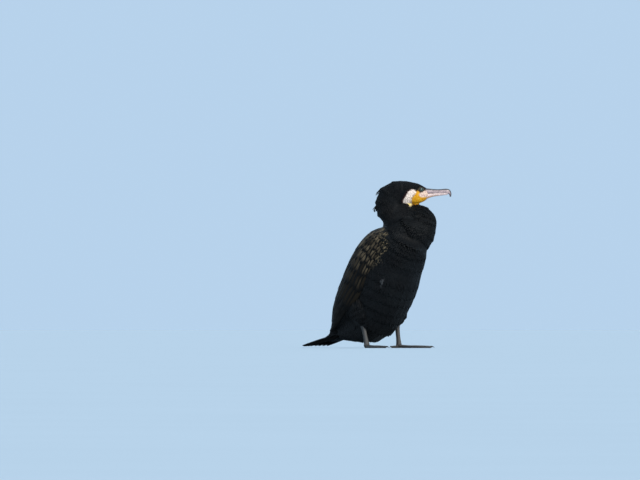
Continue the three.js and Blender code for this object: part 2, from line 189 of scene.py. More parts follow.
class Form:
    """A closed form swept through stations of (x, y, z, half height, half width)."""

    def __init__(self, stations: list[Station], left: Array = np.array([0.0, 1.0, 0.0]),
                 square: float = 2.0, under: float = 1.0) -> None:
        """Reads the path through the stations finely once.

        Args:
            stations: Places and half sizes along the form.
            left: The direction of its width.
            square: Squareness of the section, 2 for an ellipse.
            under: Depth of the lower half beside the upper one.
        """
        rows = np.array(stations, dtype=float)
        self.square, self.under = square, under
        self.grid = np.linspace(0.0, 1.0, FINE_STEPS + 1)
        self.at = cubic_through(rows[:, :3], self.grid, True)
        step = 1e-4
        ahead = cubic_through(rows[:, :3], self.grid + step, True)
        behind = cubic_through(rows[:, :3], self.grid - step, True)
        self.along = unit(ahead - behind)
        self.up = unit(np.cross(self.along, left))
        self.side = np.cross(self.up, self.along)
        self.size = cubic_through(rows[:, 3:5], self.grid, False)

    def read(self, table: Array, share: Array) -> Array:
        """Reads one of the fine tables at shares of the length."""
        place = np.clip(share, 0.0, 1.0) * FINE_STEPS
        first = np.minimum(place.astype(int), FINE_STEPS - 1)
        weight = (place - first)[..., None]
        return table[first] * (1.0 - weight) + table[first + 1] * weight

    def point(self, share: Array, angle: Array, grow: Array | float = 0.0) -> Array:
        """Finds points on the surface.

        Args:
            share: Shares of the length.
            angle: Angles from the left side round over the top.
            grow: How far outside the surface.

        Returns:
            Places in millimetres, one for each share and angle.
        """
        share, angle = np.broadcast_arrays(np.asarray(share, float), np.asarray(angle, float))
        size = self.read(self.size, share)
        power = 2.0 / self.square
        cosine, sine = np.cos(angle), np.sin(angle)
        tall = np.where(sine < 0.0, size[..., 0] * self.under, size[..., 0]) + grow
        wide = size[..., 1] + grow
        across = np.sign(cosine) * np.abs(cosine) ** power * wide
        rise = np.sign(sine) * np.abs(sine) ** power * tall
        return (self.read(self.at, share) + self.read(self.side, share) * across[..., None]
                + self.read(self.up, share) * rise[..., None])

    def normal(self, share: Array, angle: Array) -> Array:
        """Gives the outward direction at points on the surface."""
        return unit(self.point(share, angle, 1.0) - self.point(share, angle, 0.0))

    def lofted(self, rows: int, around: int, relief: Relief | None = None, grow: float = 0.0) -> Shell:
        """Makes the whole form as a closed shell.

        Args:
            rows: Rings along the form.
            around: Points round a ring.
            relief: A function of share and angle that gives extra height.
            grow: How far outside the surface.

        Returns:
            The shell in millimetres.
        """
        share = np.linspace(0.0, 1.0, rows)[:, None]
        angle = circle(around)[None, :]
        height = relief(share, angle) if relief else 0.0
        return Shell.from_rings(self.point(share, angle, grow + height))


@dataclass
class Shell:
    """Points and faces of a mesh before it becomes an object, with values that its material reads."""

    points: Array
    faces: list[tuple[int, ...]]
    uv: Array | None = None
    values: dict[str, Array] = field(default_factory=dict)

    @classmethod
    def from_rings(cls, rings: Array) -> Shell:
        """Closes a stack of rings with a pole at each end."""
        rows, around = rings.shape[:2]
        poles = [rings[0].mean(axis=0), rings[-1].mean(axis=0)]
        points = np.vstack([rings.reshape(-1, 3), poles])
        faces: list[tuple[int, ...]] = []
        for i in range(rows - 1):
            for j in range(around):
                k = (j + 1) % around
                faces.append((i * around + j, (i + 1) * around + j, (i + 1) * around + k, i * around + k))
        start, end, last = rows * around, rows * around + 1, (rows - 1) * around
        for j in range(around):
            k = (j + 1) % around
            faces.append((start, j, k))
            faces.append((end, last + k, last + j))
        return cls(points, faces)

    @classmethod
    def joined(cls, shells: list[Shell]) -> Shell:
        """Puts shells together as one mesh, with the values that the first one has."""
        points = np.vstack([s.points for s in shells])
        faces: list[tuple[int, ...]] = []
        base = 0
        for shell in shells:
            faces.extend(tuple(v + base for v in face) for face in shell.faces)
            base += len(shell.points)
        uv = np.vstack([s.uv for s in shells]) if shells[0].uv is not None else None
        values = {name: np.concatenate([s.values[name] for s in shells]) for name in shells[0].values}
        return cls(points, faces, uv, values)

    def as_object(self, name: str, smooth: bool = True) -> bpy.types.Object:
        """Makes the object in the model's metres, with outward faces.

        Args:
            name: The piece's name.
            smooth: Whether its faces are shaded smooth.

        Returns:
            The new object, at the origin.
        """
        mesh = bpy.data.meshes.new(name)
        mesh.from_pydata(Place.metres(self.points).tolist(), [], self.faces)
        write_values(mesh, self.values)
        if self.uv is not None:
            write_uv(mesh, "vane", self.uv)
        turn_outwards(mesh)
        if smooth:
            mesh.shade_smooth()
        return linked(name, mesh)


def turn_outwards(mesh: bpy.types.Mesh) -> None:
    """Recalculates a mesh's faces so that they point outwards."""
    work = bmesh.new()
    work.from_mesh(mesh)
    bmesh.ops.recalc_face_normals(work, faces=work.faces)
    work.to_mesh(mesh)
    work.free()
    mesh.update()


def corner_points(mesh: bpy.types.Mesh) -> Array:
    """Lists the point index of each face corner."""
    index = np.empty(len(mesh.loops), dtype=np.int32)
    mesh.loops.foreach_get("vertex_index", index)
    return index


def write_uv(mesh: bpy.types.Mesh, name: str, point_uv: Array) -> None:
    """Writes a UV map from one value for each point."""
    layer = mesh.uv_layers.new(name=name)
    layer.data.foreach_set("uv", point_uv[corner_points(mesh)].astype(np.float32).ravel())


def write_values(mesh: bpy.types.Mesh, values: dict[str, Array]) -> None:
    """Writes number attributes, one value for each point."""
    for label, data in values.items():
        mesh.attributes.new(label, "FLOAT", "POINT").data.foreach_set("value", data.astype(np.float32))


def read_vectors(mesh: bpy.types.Mesh, name: str) -> Array:
    """Reads an attribute of three numbers for each point."""
    layer = mesh.attributes[name]
    data = np.empty(len(layer.data) * 3, dtype=np.float32)
    layer.data.foreach_get("vector", data)
    return data.reshape(-1, 3)


def dress(piece: bpy.types.Object, material: bpy.types.Material, slot: str, *nodes: str) -> None:
    """Gives a piece its material, hangs it on the body's empty and hides the solids that it replaces.

    Args:
        piece: The finished piece.
        material: Its material.
        slot: Not used.
        nodes: The solids that it replaces.
    """
    piece.data.materials.clear()
    piece.data.materials.append(material)
    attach(piece, BODY)
    if nodes:
        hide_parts(*nodes)
    LOG.info("%s: %d faces", piece.name, len(piece.data.polygons))


# Shapes that the solids share, as stations of (x, y, z, half height, half width)


def on_midline(x: float, z: float, tall: float, wide: float) -> Station:
    """Gives a station on the body's middle plane."""
    return (x, 0.0, z, tall, wide)


def on_head(forward: float, up: float, tall: float, wide: float, left: float = 0.0) -> Station:
    """Gives a station on the head's own plane."""
    return (*head_point(forward, left, up), tall, wide)


BODY_SQUARENESS = 2.35
COLLAR_MIDDLE, COLLAR_WAY = np.array([84.0, 4.0, 304.0]), np.array([0.54, 0.08, 0.84])
WING_FORM = Form(
    [on_midline(-176, 41, 5, 13), on_midline(-153, 49, 12, 32), on_midline(-127, 65, 27, 55),
     on_midline(-97, 93, 50, 76), on_midline(-65, 126, 66, 87), on_midline(-34, 164, 75, 91),
     on_midline(-10, 208, 76, 90), on_midline(14, 247, 74, 85), on_midline(42, 281, 66, 74),
     on_midline(66, 312, 40, 46)],
    square=BODY_SQUARENESS, under=0.62)
TORSO_FORM = Form(
    [on_midline(-142, 38, 9, 22), on_midline(-116, 44, 28, 38), on_midline(-79, 65, 60, 52),
     on_midline(-37, 97, 83, 67), on_midline(-12, 138, 90, 80), on_midline(11, 185, 92, 85),
     on_midline(32, 229, 88, 82), on_midline(56, 265, 81, 75), on_midline(75, 292, 72, 66),
     on_midline(88, 311, 58, 52)],
    square=BODY_SQUARENESS)
LOWER_NECK_FORM = Form(
    [on_midline(50, 278, 58, 56), on_midline(72, 300, 60, 54), on_head(91, 320, 59, 50, -8),
     on_head(103, 338, 48.5, 42, -5), on_head(105, 352, 44, 38, -3)], LEFTWARD)
NECK_FOLD_FORM = Form(
    [on_head(96, 353, 39, 35, -3), on_head(74, 357, 38, 35), on_head(50, 360, 37, 35),
     on_head(30, 369, 34, 33)], LEFTWARD)
UPPER_NECK_FORM = Form(
    [on_head(32, 362, 33, 32), on_head(19, 380, 36, 32), on_head(14, 400, 33, 31), on_head(22, 419, 33, 29),
     on_head(40, 429, 31, 27), on_head(56, 430, 30, 26)], LEFTWARD)
HEAD_FORM = Form(
    [on_head(46, 429, 31, 25), on_head(64, 427, 32, 26), on_head(82, 424.5, 31, 24),
     on_head(100, 423.5, 28, 19.5), on_head(114, 424, 21.5, 15), on_head(125, 425.5, 14.5, 11.5)], LEFTWARD)
UPPER_BILL_FORM = Form(
    [on_head(108, 431, 8.5, 10.5), on_head(124, 431, 7.6, 9.2), on_head(142, 430.4, 6.4, 7.4),
     on_head(160, 430.4, 6, 6.2), on_head(174, 431.2, 6.4, 5.6), on_head(182, 429.6, 6.4, 4.8),
     on_head(187, 423.5, 3.6, 3.2), on_head(188, 415.6, 1.5, 1.4)], LEFTWARD)
LOWER_BILL_FORM = Form(
    [on_head(104, 412, 9.5, 10.5), on_head(118, 416, 8, 9.5), on_head(136, 420, 5.4, 7.2),
     on_head(154, 421.8, 4.2, 5.6), on_head(170, 423.2, 3.8, 4.6), on_head(180.5, 424, 2.8, 3.4)], LEFTWARD)

# Outlines on the side of the head, as (forward, up)
Outline = tuple[tuple[float, float], ...]
CHEEK_OUTLINE = (
    (80.0, 432.0), (87.0, 434.6), (94.0, 433.6), (95.4, 428.5), (89.5, 420.0), (82.5, 410.5), (80.5, 404.0),
    (82.5, 395.5), (76.5, 391.5), (71.5, 388.5), (69.8, 393.5), (67.0, 398.2), (60.0, 400.2), (63.5, 408.0),
    (69.5, 418.0), (74.5, 427.0))
THROAT_OUTLINE = (
    (96.4, 431.5), (101.0, 430.5), (104.0, 427.0), (105.0, 422.0), (108.0, 418.6), (116.0, 417.6),
    (128.0, 421.0), (150.0, 423.0), (150.0, 411.0), (124.0, 405.0), (108.0, 398.2), (98.0, 395.0),
    (90.0, 394.4), (84.0, 395.4), (81.2, 403.0), (82.0, 409.5), (90.0, 419.5))
LORE_OUTLINE = (
    (100.0, 436.5), (102.5, 440.5), (108.0, 442.4), (115.0, 440.4), (123.0, 437.2), (119.0, 432.5),
    (112.0, 428.0), (105.0, 426.6), (102.0, 427.8), (100.0, 430.5))
GAPE_OUTLINE = (
    (100.5, 420.5), (104.0, 425.6), (111.0, 428.0), (117.0, 431.5), (130.0, 434.5), (130.0, 415.5),
    (118.0, 414.2), (109.0, 413.4), (103.5, 416.5))


def inside_outline(points: Array, outline: Outline, soft: float) -> Array:
    """Gives a soft mask of an outline drawn on the side of the head.

    Args:
        points: Places measured on the head as (forward, left, up).
        outline: Corners as (forward, up).
        soft: Width of the mask's edge.

    Returns:
        1 well inside the outline and 0 well outside, for each point.
    """
    x, y = points[:, 0], points[:, 2]
    corners = np.array(outline)
    nearest = np.full(len(points), 1e9)
    inside = np.zeros(len(points), dtype=bool)
    for (ax, ay), (bx, by) in zip(corners, np.roll(corners, -1, axis=0)):
        square = (bx - ax) ** 2 + (by - ay) ** 2
        share = np.clip(((x - ax) * (bx - ax) + (y - ay) * (by - ay)) / square, 0, 1)
        nearest = np.minimum(nearest, np.hypot(x - ax - share * (bx - ax), y - ay - share * (by - ay)))
        crosses = (ay > y) != (by > y)
        with np.errstate(divide="ignore", invalid="ignore"):
            at = (bx - ax) * (y - ay) / (by - ay) + ax
        inside ^= crosses & (x < at)
    return smooth_step(-soft, soft, np.where(inside, nearest, -nearest))


# Finishes


def new_material(name: str) -> tuple[bpy.types.Material, Wiring, bpy.types.Node]:
    """Starts a material, and gives it with its wiring and its Principled shader."""
    material = bpy.data.materials.new(name)
    material.use_nodes = True
    tree = material.node_tree
    return material, Wiring(tree), next(n for n in tree.nodes if n.type == "BSDF_PRINCIPLED")


class Wiring:
    """Short ways to add and link nodes of one tree."""

    def __init__(self, tree: bpy.types.NodeTree) -> None:
        """Keeps the tree."""
        self.tree = tree

    def feed(self, node: bpy.types.Node, values: dict[str | int, object]) -> None:
        """Sets or links a node's inputs.

        Args:
            node: The node.
            values: Inputs by name or number, each a value or a socket.
        """
        for key, value in values.items():
            if isinstance(value, bpy.types.NodeSocket):
                self.tree.links.new(value, node.inputs[key])
            else:
                node.inputs[key].default_value = value

    def add(self, kind: str, values: dict[str | int, object] | None = None,
            **settings: object) -> bpy.types.Node:
        """Adds a node, sets its properties, and sets or links its inputs.

        Args:
            kind: The node's type.
            values: Inputs by name or number, each a value or a socket.
            settings: Properties of the node.

        Returns:
            The node.
        """
        node = self.tree.nodes.new(kind)
        for label, value in settings.items():
            setattr(node, label, value)
        self.feed(node, values or {})
        return node

    def math(self, operation: str, *values: object, clamp: bool = False) -> bpy.types.NodeSocket:
        """Adds a Math node on values or sockets."""
        node = self.add("ShaderNodeMath", dict(enumerate(values)), operation=operation, use_clamp=clamp)
        return node.outputs[0]

    def ramp(self, value: object, low: float, high: float, start: float = 0.0,
             end: float = 1.0) -> bpy.types.NodeSocket:
        """Maps a range of a value smoothly onto another."""
        return self.add("ShaderNodeMapRange", {0: value, 1: low, 2: high, 3: start, 4: end},
                        interpolation_type="SMOOTHSTEP").outputs[0]

    def mix(self, share: object, first: object, second: object) -> bpy.types.NodeSocket:
        """Mixes two colours."""
        return self.add("ShaderNodeMix", {0: share, 6: first, 7: second}, data_type="RGBA").outputs[2]

    def value(self, name: str) -> bpy.types.NodeSocket:
        """Reads a number attribute of the piece."""
        return self.add("ShaderNodeAttribute", attribute_name=name).outputs["Fac"]

    def noise(self, scale: object, detail: float, vector: object | None = None) -> bpy.types.NodeSocket:
        """Adds noise on Object coordinates, or on another vector."""
        vector = vector or self.add("ShaderNodeTexCoord").outputs["Object"]
        node = self.add("ShaderNodeTexNoise", {"Vector": vector, "Scale": scale, "Detail": detail})
        return node.outputs["Fac"]

    def patches(self, scale: float, low: float, high: float,
                colours: tuple[Colour, Colour]) -> bpy.types.NodeSocket:
        """Mixes two colours in soft patches of noise."""
        return self.mix(self.ramp(self.noise(scale, 2.0), low, high), *colours)

    def bump(self, height: object, strength: float, distance: float) -> bpy.types.NodeSocket:
        """Turns a height into a normal."""
        node = self.add("ShaderNodeBump", {"Height": height, "Strength": strength, "Distance": distance})
        return node.outputs[0]


def rgb(red: float, green: float, blue: float) -> Colour:
    """Gives an opaque colour."""
    return (red, green, blue, 1.0)


class SharedEffects:
    """Node groups that several finishes use, each built at its first use."""

    groups: dict[str, bpy.types.NodeTree] = {}

    @classmethod
    def start(cls, name: str, inputs: tuple[str, ...],
              outputs: tuple[str, ...]) -> tuple[Wiring, bpy.types.Node, bpy.types.Node]:
        """Starts a group with number sockets.

        Args:
            name: The group's name.
            inputs: Names of the inputs.
            outputs: Names of the outputs.

        Returns:
            The group's wiring, and its input and output nodes.
        """
        tree = bpy.data.node_groups.new(name, "ShaderNodeTree")
        for label, way in [(i, "INPUT") for i in inputs] + [(o, "OUTPUT") for o in outputs]:
            tree.interface.new_socket(label, in_out=way, socket_type="NodeSocketFloat")
        cls.groups[name] = tree
        wire = Wiring(tree)
        return wire, wire.add("NodeGroupInput"), wire.add("NodeGroupOutput")

    @classmethod
    def make_vane(cls) -> None:
        """Builds the group for one feather over its own UV map."""
        wire, given, result = cls.start("vane", ("Barbs", "Slant", "Border"), ("Height", "Shaft", "Border"))
        split = wire.add("ShaderNodeSeparateXYZ", {0: wire.add("ShaderNodeUVMap", uv_map="vane").outputs[0]})
        across, along = split.outputs[0], split.outputs[1]
        off = wire.math("ABSOLUTE", wire.math("MULTIPLY", wire.math("SUBTRACT", across, 0.5), 2.0))
        slanted = wire.math("SUBTRACT", along, wire.math("MULTIPLY", off, given.outputs["Slant"]))
        turns = wire.math("MULTIPLY", given.outputs["Barbs"], math.tau)
        wave = wire.math("SINE", wire.math("MULTIPLY", slanted, turns))
        shaft = wire.ramp(off, 0.0, 0.09, 1.0, 0.0)
        rim = wire.math("MAXIMUM", off, wire.math("POWER", along, 2.5))
        low = wire.math("SUBTRACT", 1.0, given.outputs["Border"])
        fade = wire.math("MULTIPLY", given.outputs["Border"], 0.5)
        border = wire.math("DIVIDE", wire.math("SUBTRACT", rim, low), fade, clamp=True)
        height = wire.math("ADD", wire.math("MULTIPLY", wave, 0.25), wire.math("MULTIPLY", shaft, 1.2))
        wire.feed(result, {"Height": height, "Shaft": shaft, "Border": border})

    @classmethod
    def vane(cls, wire: Wiring, barbs: float, slant: float, border: float) -> bpy.types.Node:
        """Adds the look of one feather: barbs, shaft and border.

        Args:
            wire: Where it is added.
            barbs: How many barbs it has along its length.
            slant: How far they lean.
            border: Share of the half width that the border takes.

        Returns:
            A node with outputs Height, Shaft and Border.
        """
        if "vane" not in cls.groups:
            cls.make_vane()
        return wire.add("ShaderNodeGroup", {"Barbs": barbs, "Slant": slant, "Border": border},
                        node_tree=cls.groups["vane"])

    @classmethod
    def make_mottle(cls) -> None:
        """Builds the group for uneven colour at two scales on Object coordinates."""
        wire, given, result = cls.start("mottle", ("Broad", "Fine"), ("Value",))
        at = wire.add("ShaderNodeTexCoord").outputs["Object"]
        parts = []
        for scale, detail, share in (("Broad", 2.0, 0.6), ("Fine", 3.0, 0.4)):
            noise = wire.noise(given.outputs[scale], detail, at)
            parts.append(wire.math("MULTIPLY", noise, share))
        wire.feed(result, {"Value": wire.math("ADD", *parts)})

    @classmethod
    def mottle(cls, wire: Wiring, broad: float, fine: float) -> bpy.types.NodeSocket:
        """Adds uneven colour with two scales of noise, as a value around 0.5."""
        if "mottle" not in cls.groups:
            cls.make_mottle()
        node = wire.add("ShaderNodeGroup", {"Broad": broad, "Fine": fine}, node_tree=cls.groups["mottle"])
        return node.outputs[0]


@dataclass(frozen=True)
class PlumageFinish:
    """Black body feathers and the markings of the head, on skin and coat alike."""

    name: str
    black: Colour = rgb(0.0024, 0.0025, 0.0028)
    gloss: Colour = rgb(0.0042, 0.0050, 0.0056)
    # Painted sheen: the grey colour that random coat feathers are lightened towards.
    worn: Colour = rgb(0.0075, 0.0078, 0.0085)
    cream: Colour = rgb(0.96, 0.78, 0.66)
    speck: Colour = rgb(0.22, 0.13, 0.10)
    straw: Colour = rgb(0.86, 0.66, 0.22)
    rust: Colour = rgb(0.045, 0.016, 0.016)
    throat: tuple[Colour, Colour] = (rgb(0.60, 0.24, 0.008), rgb(0.68, 0.36, 0.025))
    lore: tuple[Colour, Colour] = (rgb(0.022, 0.014, 0.012), rgb(0.20, 0.12, 0.035))
    gape: tuple[Colour, Colour] = (rgb(0.52, 0.34, 0.29), rgb(0.80, 0.60, 0.44))
    flank: Colour = rgb(0.075, 0.075, 0.078)
    bronze: Colour = rgb(0.105, 0.080, 0.046)
    barbed: bool = True

    def material(self) -> bpy.types.Material:
        """Builds the material, which reads the markings from the piece's attributes."""
        material, wire, shader = new_material(self.name)
        tone = wire.value("tone")
        uneven = SharedEffects.mottle(wire, 26.0, 500.0)
        colour = wire.mix(wire.ramp(uneven, 0.40, 0.62), self.black, self.gloss)
        # Painted sheen: random coat feathers are lightened towards the grey sheen colour.
        colour = wire.mix(wire.math("MULTIPLY", tone, 0.4), colour, self.worn)
        speckles = wire.ramp(wire.noise(420.0, 2.0), 0.54, 0.64)
        cream = wire.mix(wire.math("MULTIPLY", speckles, 0.75), self.cream, self.speck)
        cream = wire.mix(wire.ramp(wire.value("low_cheek"), 0.0, 1.0), cream, self.straw)
        layers = {"cheek_rim": self.rust, "cheek": cream,
                  "throat": wire.patches(240.0, 0.42, 0.62, self.throat),
                  "lore": wire.patches(380.0, 0.54, 0.68, self.lore),
                  "gape": wire.patches(260.0, 0.42, 0.62, self.gape)}
        for mask, over in layers.items():
            colour = wire.mix(wire.value(mask), colour, over)
        colour = wire.mix(wire.math("MULTIPLY", wire.value("fleck"), 0.5), colour, self.flank)
        fine = wire.noise(2600.0, 2.0)
        if self.barbed:
            vane = SharedEffects.vane(wire, 14.0, 0.5, 0.5)
            fine = wire.math("ADD", vane.outputs["Height"], wire.math("MULTIPLY", fine, 0.3))
            spot = wire.math("SUBTRACT", 1.0, vane.outputs["Border"])
            scaled = wire.math("MULTIPLY", spot, wire.ramp(tone, 0.25, 0.75))
        else:
            scaled = wire.ramp(wire.noise(110.0, 2.0), 0.46, 0.58)
        colour = wire.mix(wire.math("MULTIPLY", wire.value("bronze"), scaled), colour, self.bronze)
        roughness = wire.ramp(wire.noise(60.0, 3.0), 0.3, 0.7, 0.40, 0.52)
        wire.feed(shader, {"Base Color": colour, "Roughness": roughness,
                           "Normal": wire.bump(fine, 0.25, 0.0003), "Specular IOR Level": 0.08})
        return material


@dataclass(frozen=True)
class VaneFinish:
    """Large feathers: a body colour, a border and a shaft over each vane."""

    name: str
    middle: Colour
    border: Colour
    edge: float
    barbs: float = 60.0
    roughness: float = 0.52
    shaft: Colour = rgb(0.006, 0.006, 0.006)

    def material(self) -> bpy.types.Material:
        """Builds the material on the vane's own UV map."""
        material, wire, shader = new_material(self.name)
        vane = SharedEffects.vane(wire, self.barbs, 0.35, self.edge)
        rim = vane.outputs["Border"]
        darker = rgb(*(0.10 * part for part in self.middle[:3]))
        uneven = SharedEffects.mottle(wire, 40.0, 700.0)
        colour = wire.mix(wire.ramp(uneven, 0.36, 0.56), darker, self.middle)
        colour = wire.mix(wire.value("tone"), colour, darker)
        colour = wire.mix(wire.math("MULTIPLY", vane.outputs["Shaft"], 0.7), colour, self.shaft)
        colour = wire.mix(rim, colour, self.border)
        fine = wire.math("MULTIPLY", wire.noise(1800.0, 2.0), 0.4)
        height = wire.math("ADD", vane.outputs["Height"], fine)
        roughness = wire.ramp(rim, 0.0, 1.0, self.roughness + 0.1, self.roughness - 0.06)
        wire.feed(shader, {"Base Color": colour, "Roughness": roughness,
                           "Normal": wire.bump(height, 0.35, 0.0004), "Specular IOR Level": 0.06})
        return material


@dataclass(frozen=True)
class HornFinish:
    """The bill: pinkish grey horn, dark along its ridge and at its hook."""

    name: str
    pale: Colour
    grey: Colour
    dark: Colour = rgb(0.035, 0.033, 0.036)
    blotch: Colour = rgb(0.16, 0.12, 0.12)
    warm: Colour = rgb(0.62, 0.30, 0.10)

    def material(self) -> bpy.types.Material:
        """Builds the material, which reads the ridge and edge masks."""
        material, wire, shader = new_material(self.name)
        turned = wire.add("ShaderNodeMapping", {
            "Vector": wire.add("ShaderNodeTexCoord").outputs["Object"], "Rotation": (0.0, 0.0, -HEAD_TURN),
            "Scale": (60.0, 420.0, 420.0)})
        streaks = wire.noise(1.0, 4.0, turned.outputs[0])
        blotched = wire.math("MULTIPLY", wire.ramp(wire.noise(130.0, 2.0), 0.52, 0.66), 0.35)
        uneven = wire.math("MULTIPLY", wire.math("SUBTRACT", streaks, 0.5), 0.35)
        ridge = wire.math("ADD", wire.value("ridge"), uneven, clamp=True)
        colour = wire.mix(wire.ramp(streaks, 0.38, 0.62), self.grey, self.pale)
        for mask, over in ((blotched, self.blotch), (wire.value("warm"), self.warm), (ridge, self.dark)):
            colour = wire.mix(mask, colour, over)
        fine = wire.math("ADD", streaks, wire.math("MULTIPLY", wire.noise(1500.0, 2.0), 0.3))
        wire.feed(shader, {
            "Base Color": colour, "Roughness": wire.ramp(streaks, 0.3, 0.7, 0.30, 0.46),
            "Normal": wire.bump(fine, 0.3, 0.0004), "Coat Weight": 0.18, "Coat Roughness": 0.25})
        return material


@dataclass(frozen=True)
class LeatherFinish:
    """Scaly dark skin of the legs, toes and webs, and of the ring round the eye."""

    name: str
    base: Colour = rgb(0.012, 0.011, 0.0105)
    worn: Colour = rgb(0.050, 0.044, 0.040)
    scale: float = 520.0
    relief: float = 0.0005
    plate: Colour = rgb(0.13, 0.115, 0.105)

    def material(self) -> bpy.types.Material:
        """Builds the material from small cells with pale centres."""
        material, wire, shader = new_material(self.name)
        at = wire.add("ShaderNodeTexCoord").outputs["Object"]
        cells = wire.add("ShaderNodeTexVoronoi", {"Vector": at, "Scale": self.scale, "Randomness": 0.7},
                         feature="DISTANCE_TO_EDGE").outputs["Distance"]
        plates = wire.ramp(cells, 0.0, 0.16)
        uneven = SharedEffects.mottle(wire, 60.0, 900.0)
        colour = wire.mix(wire.math("MULTIPLY", plates, wire.ramp(uneven, 0.42, 0.7)), self.base, self.worn)
        colour = wire.mix(wire.math("MULTIPLY", wire.value("scute"), 0.4), colour, self.plate)
        height = wire.math("ADD", plates, wire.math("MULTIPLY", uneven, 0.5))
        wire.feed(shader, {
            "Base Color": colour, "Roughness": wire.ramp(uneven, 0.35, 0.65, 0.42, 0.6),
            "Normal": wire.bump(height, 0.6, self.relief), "Specular IOR Level": 0.5})
        return material


@dataclass(frozen=True)
class EyeFinish:
    """A wet eye: black pupil, green iris with fine rays and a dark rim."""

    name: str = "eye"
    iris: tuple[Colour, Colour] = (rgb(0.003, 0.030, 0.018), rgb(0.007, 0.065, 0.038))
    rim: Colour = rgb(0.006, 0.006, 0.006)
    pupil: Colour = rgb(0.002, 0.002, 0.002)

    def material(self) -> bpy.types.Material:
        """Builds the material, which reads how far a point lies from the eye's axis."""
        material, wire, shader = new_material(self.name)
        off = wire.value("off_axis")
        iris = wire.mix(wire.ramp(wire.noise(1800.0, 3.0), 0.4, 0.62), *self.iris)
        rimmed = wire.mix(wire.ramp(off, 0.62, 0.78), iris, self.rim)
        colour = wire.mix(wire.ramp(off, 0.38, 0.42), self.pupil, rimmed)
        wire.feed(shader, {"Base Color": colour, "Roughness": 0.06,
                           "Coat Weight": 1.0, "Coat Roughness": 0.02})
        return material


@dataclass(frozen=True)
class FloorFinish:
    """The pale studio floor."""

    name: str = "floor"
    colours: tuple[Colour, Colour] = (rgb(0.42, 0.51, 0.58), rgb(0.43, 0.52, 0.59))

    def material(self) -> bpy.types.Material:
        """Builds a nearly even matt floor."""
        material, wire, shader = new_material(self.name)
        wire.feed(shader, {"Base Color": wire.patches(3.0, 0.3, 0.7, self.colours), "Roughness": 0.75})
        return material


# Pieces


@dataclass
class Limb:
    """One stretch of the body that the coat lies along: its axis, and feather lengths at its two ends."""

    form: Form
    start_length: float
    end_length: float
    headward: bool = True


TAIL_ROOT_FORM = Form(
    [on_midline(-112, 42, 16, 30), on_midline(-136, 38, 16, 30), on_midline(-162, 30, 12.5, 29),
     on_midline(-184, 23.5, 8.5, 27), on_midline(-198, 19, 5, 22)])
FOOT_FORWARD = {Side.LEFT: 20.0, Side.RIGHT: -14.0}
ANKLE_BACK = {Side.LEFT: 7.0, Side.RIGHT: 14.0}
FOOT_SPREAD = 50.0


def ankle(side: Side) -> Array:
    """Gives the place of an ankle."""
    return np.array([FOOT_FORWARD[side] - ANKLE_BACK[side], side.value * FOOT_SPREAD, 66.0])


def thigh_form(side: Side) -> Form:
    """Gives the feathered thigh, from the hip down."""
    x, y = ankle(side)[0], side.value
    return Form([(x - 17, y * 52, 142, 45, 31), (x - 9, y * 56, 112, 41, 29), (x - 1, y * 56, 88, 29, 22),
                 (x + 1, y * 51, 67, 12, 11)])


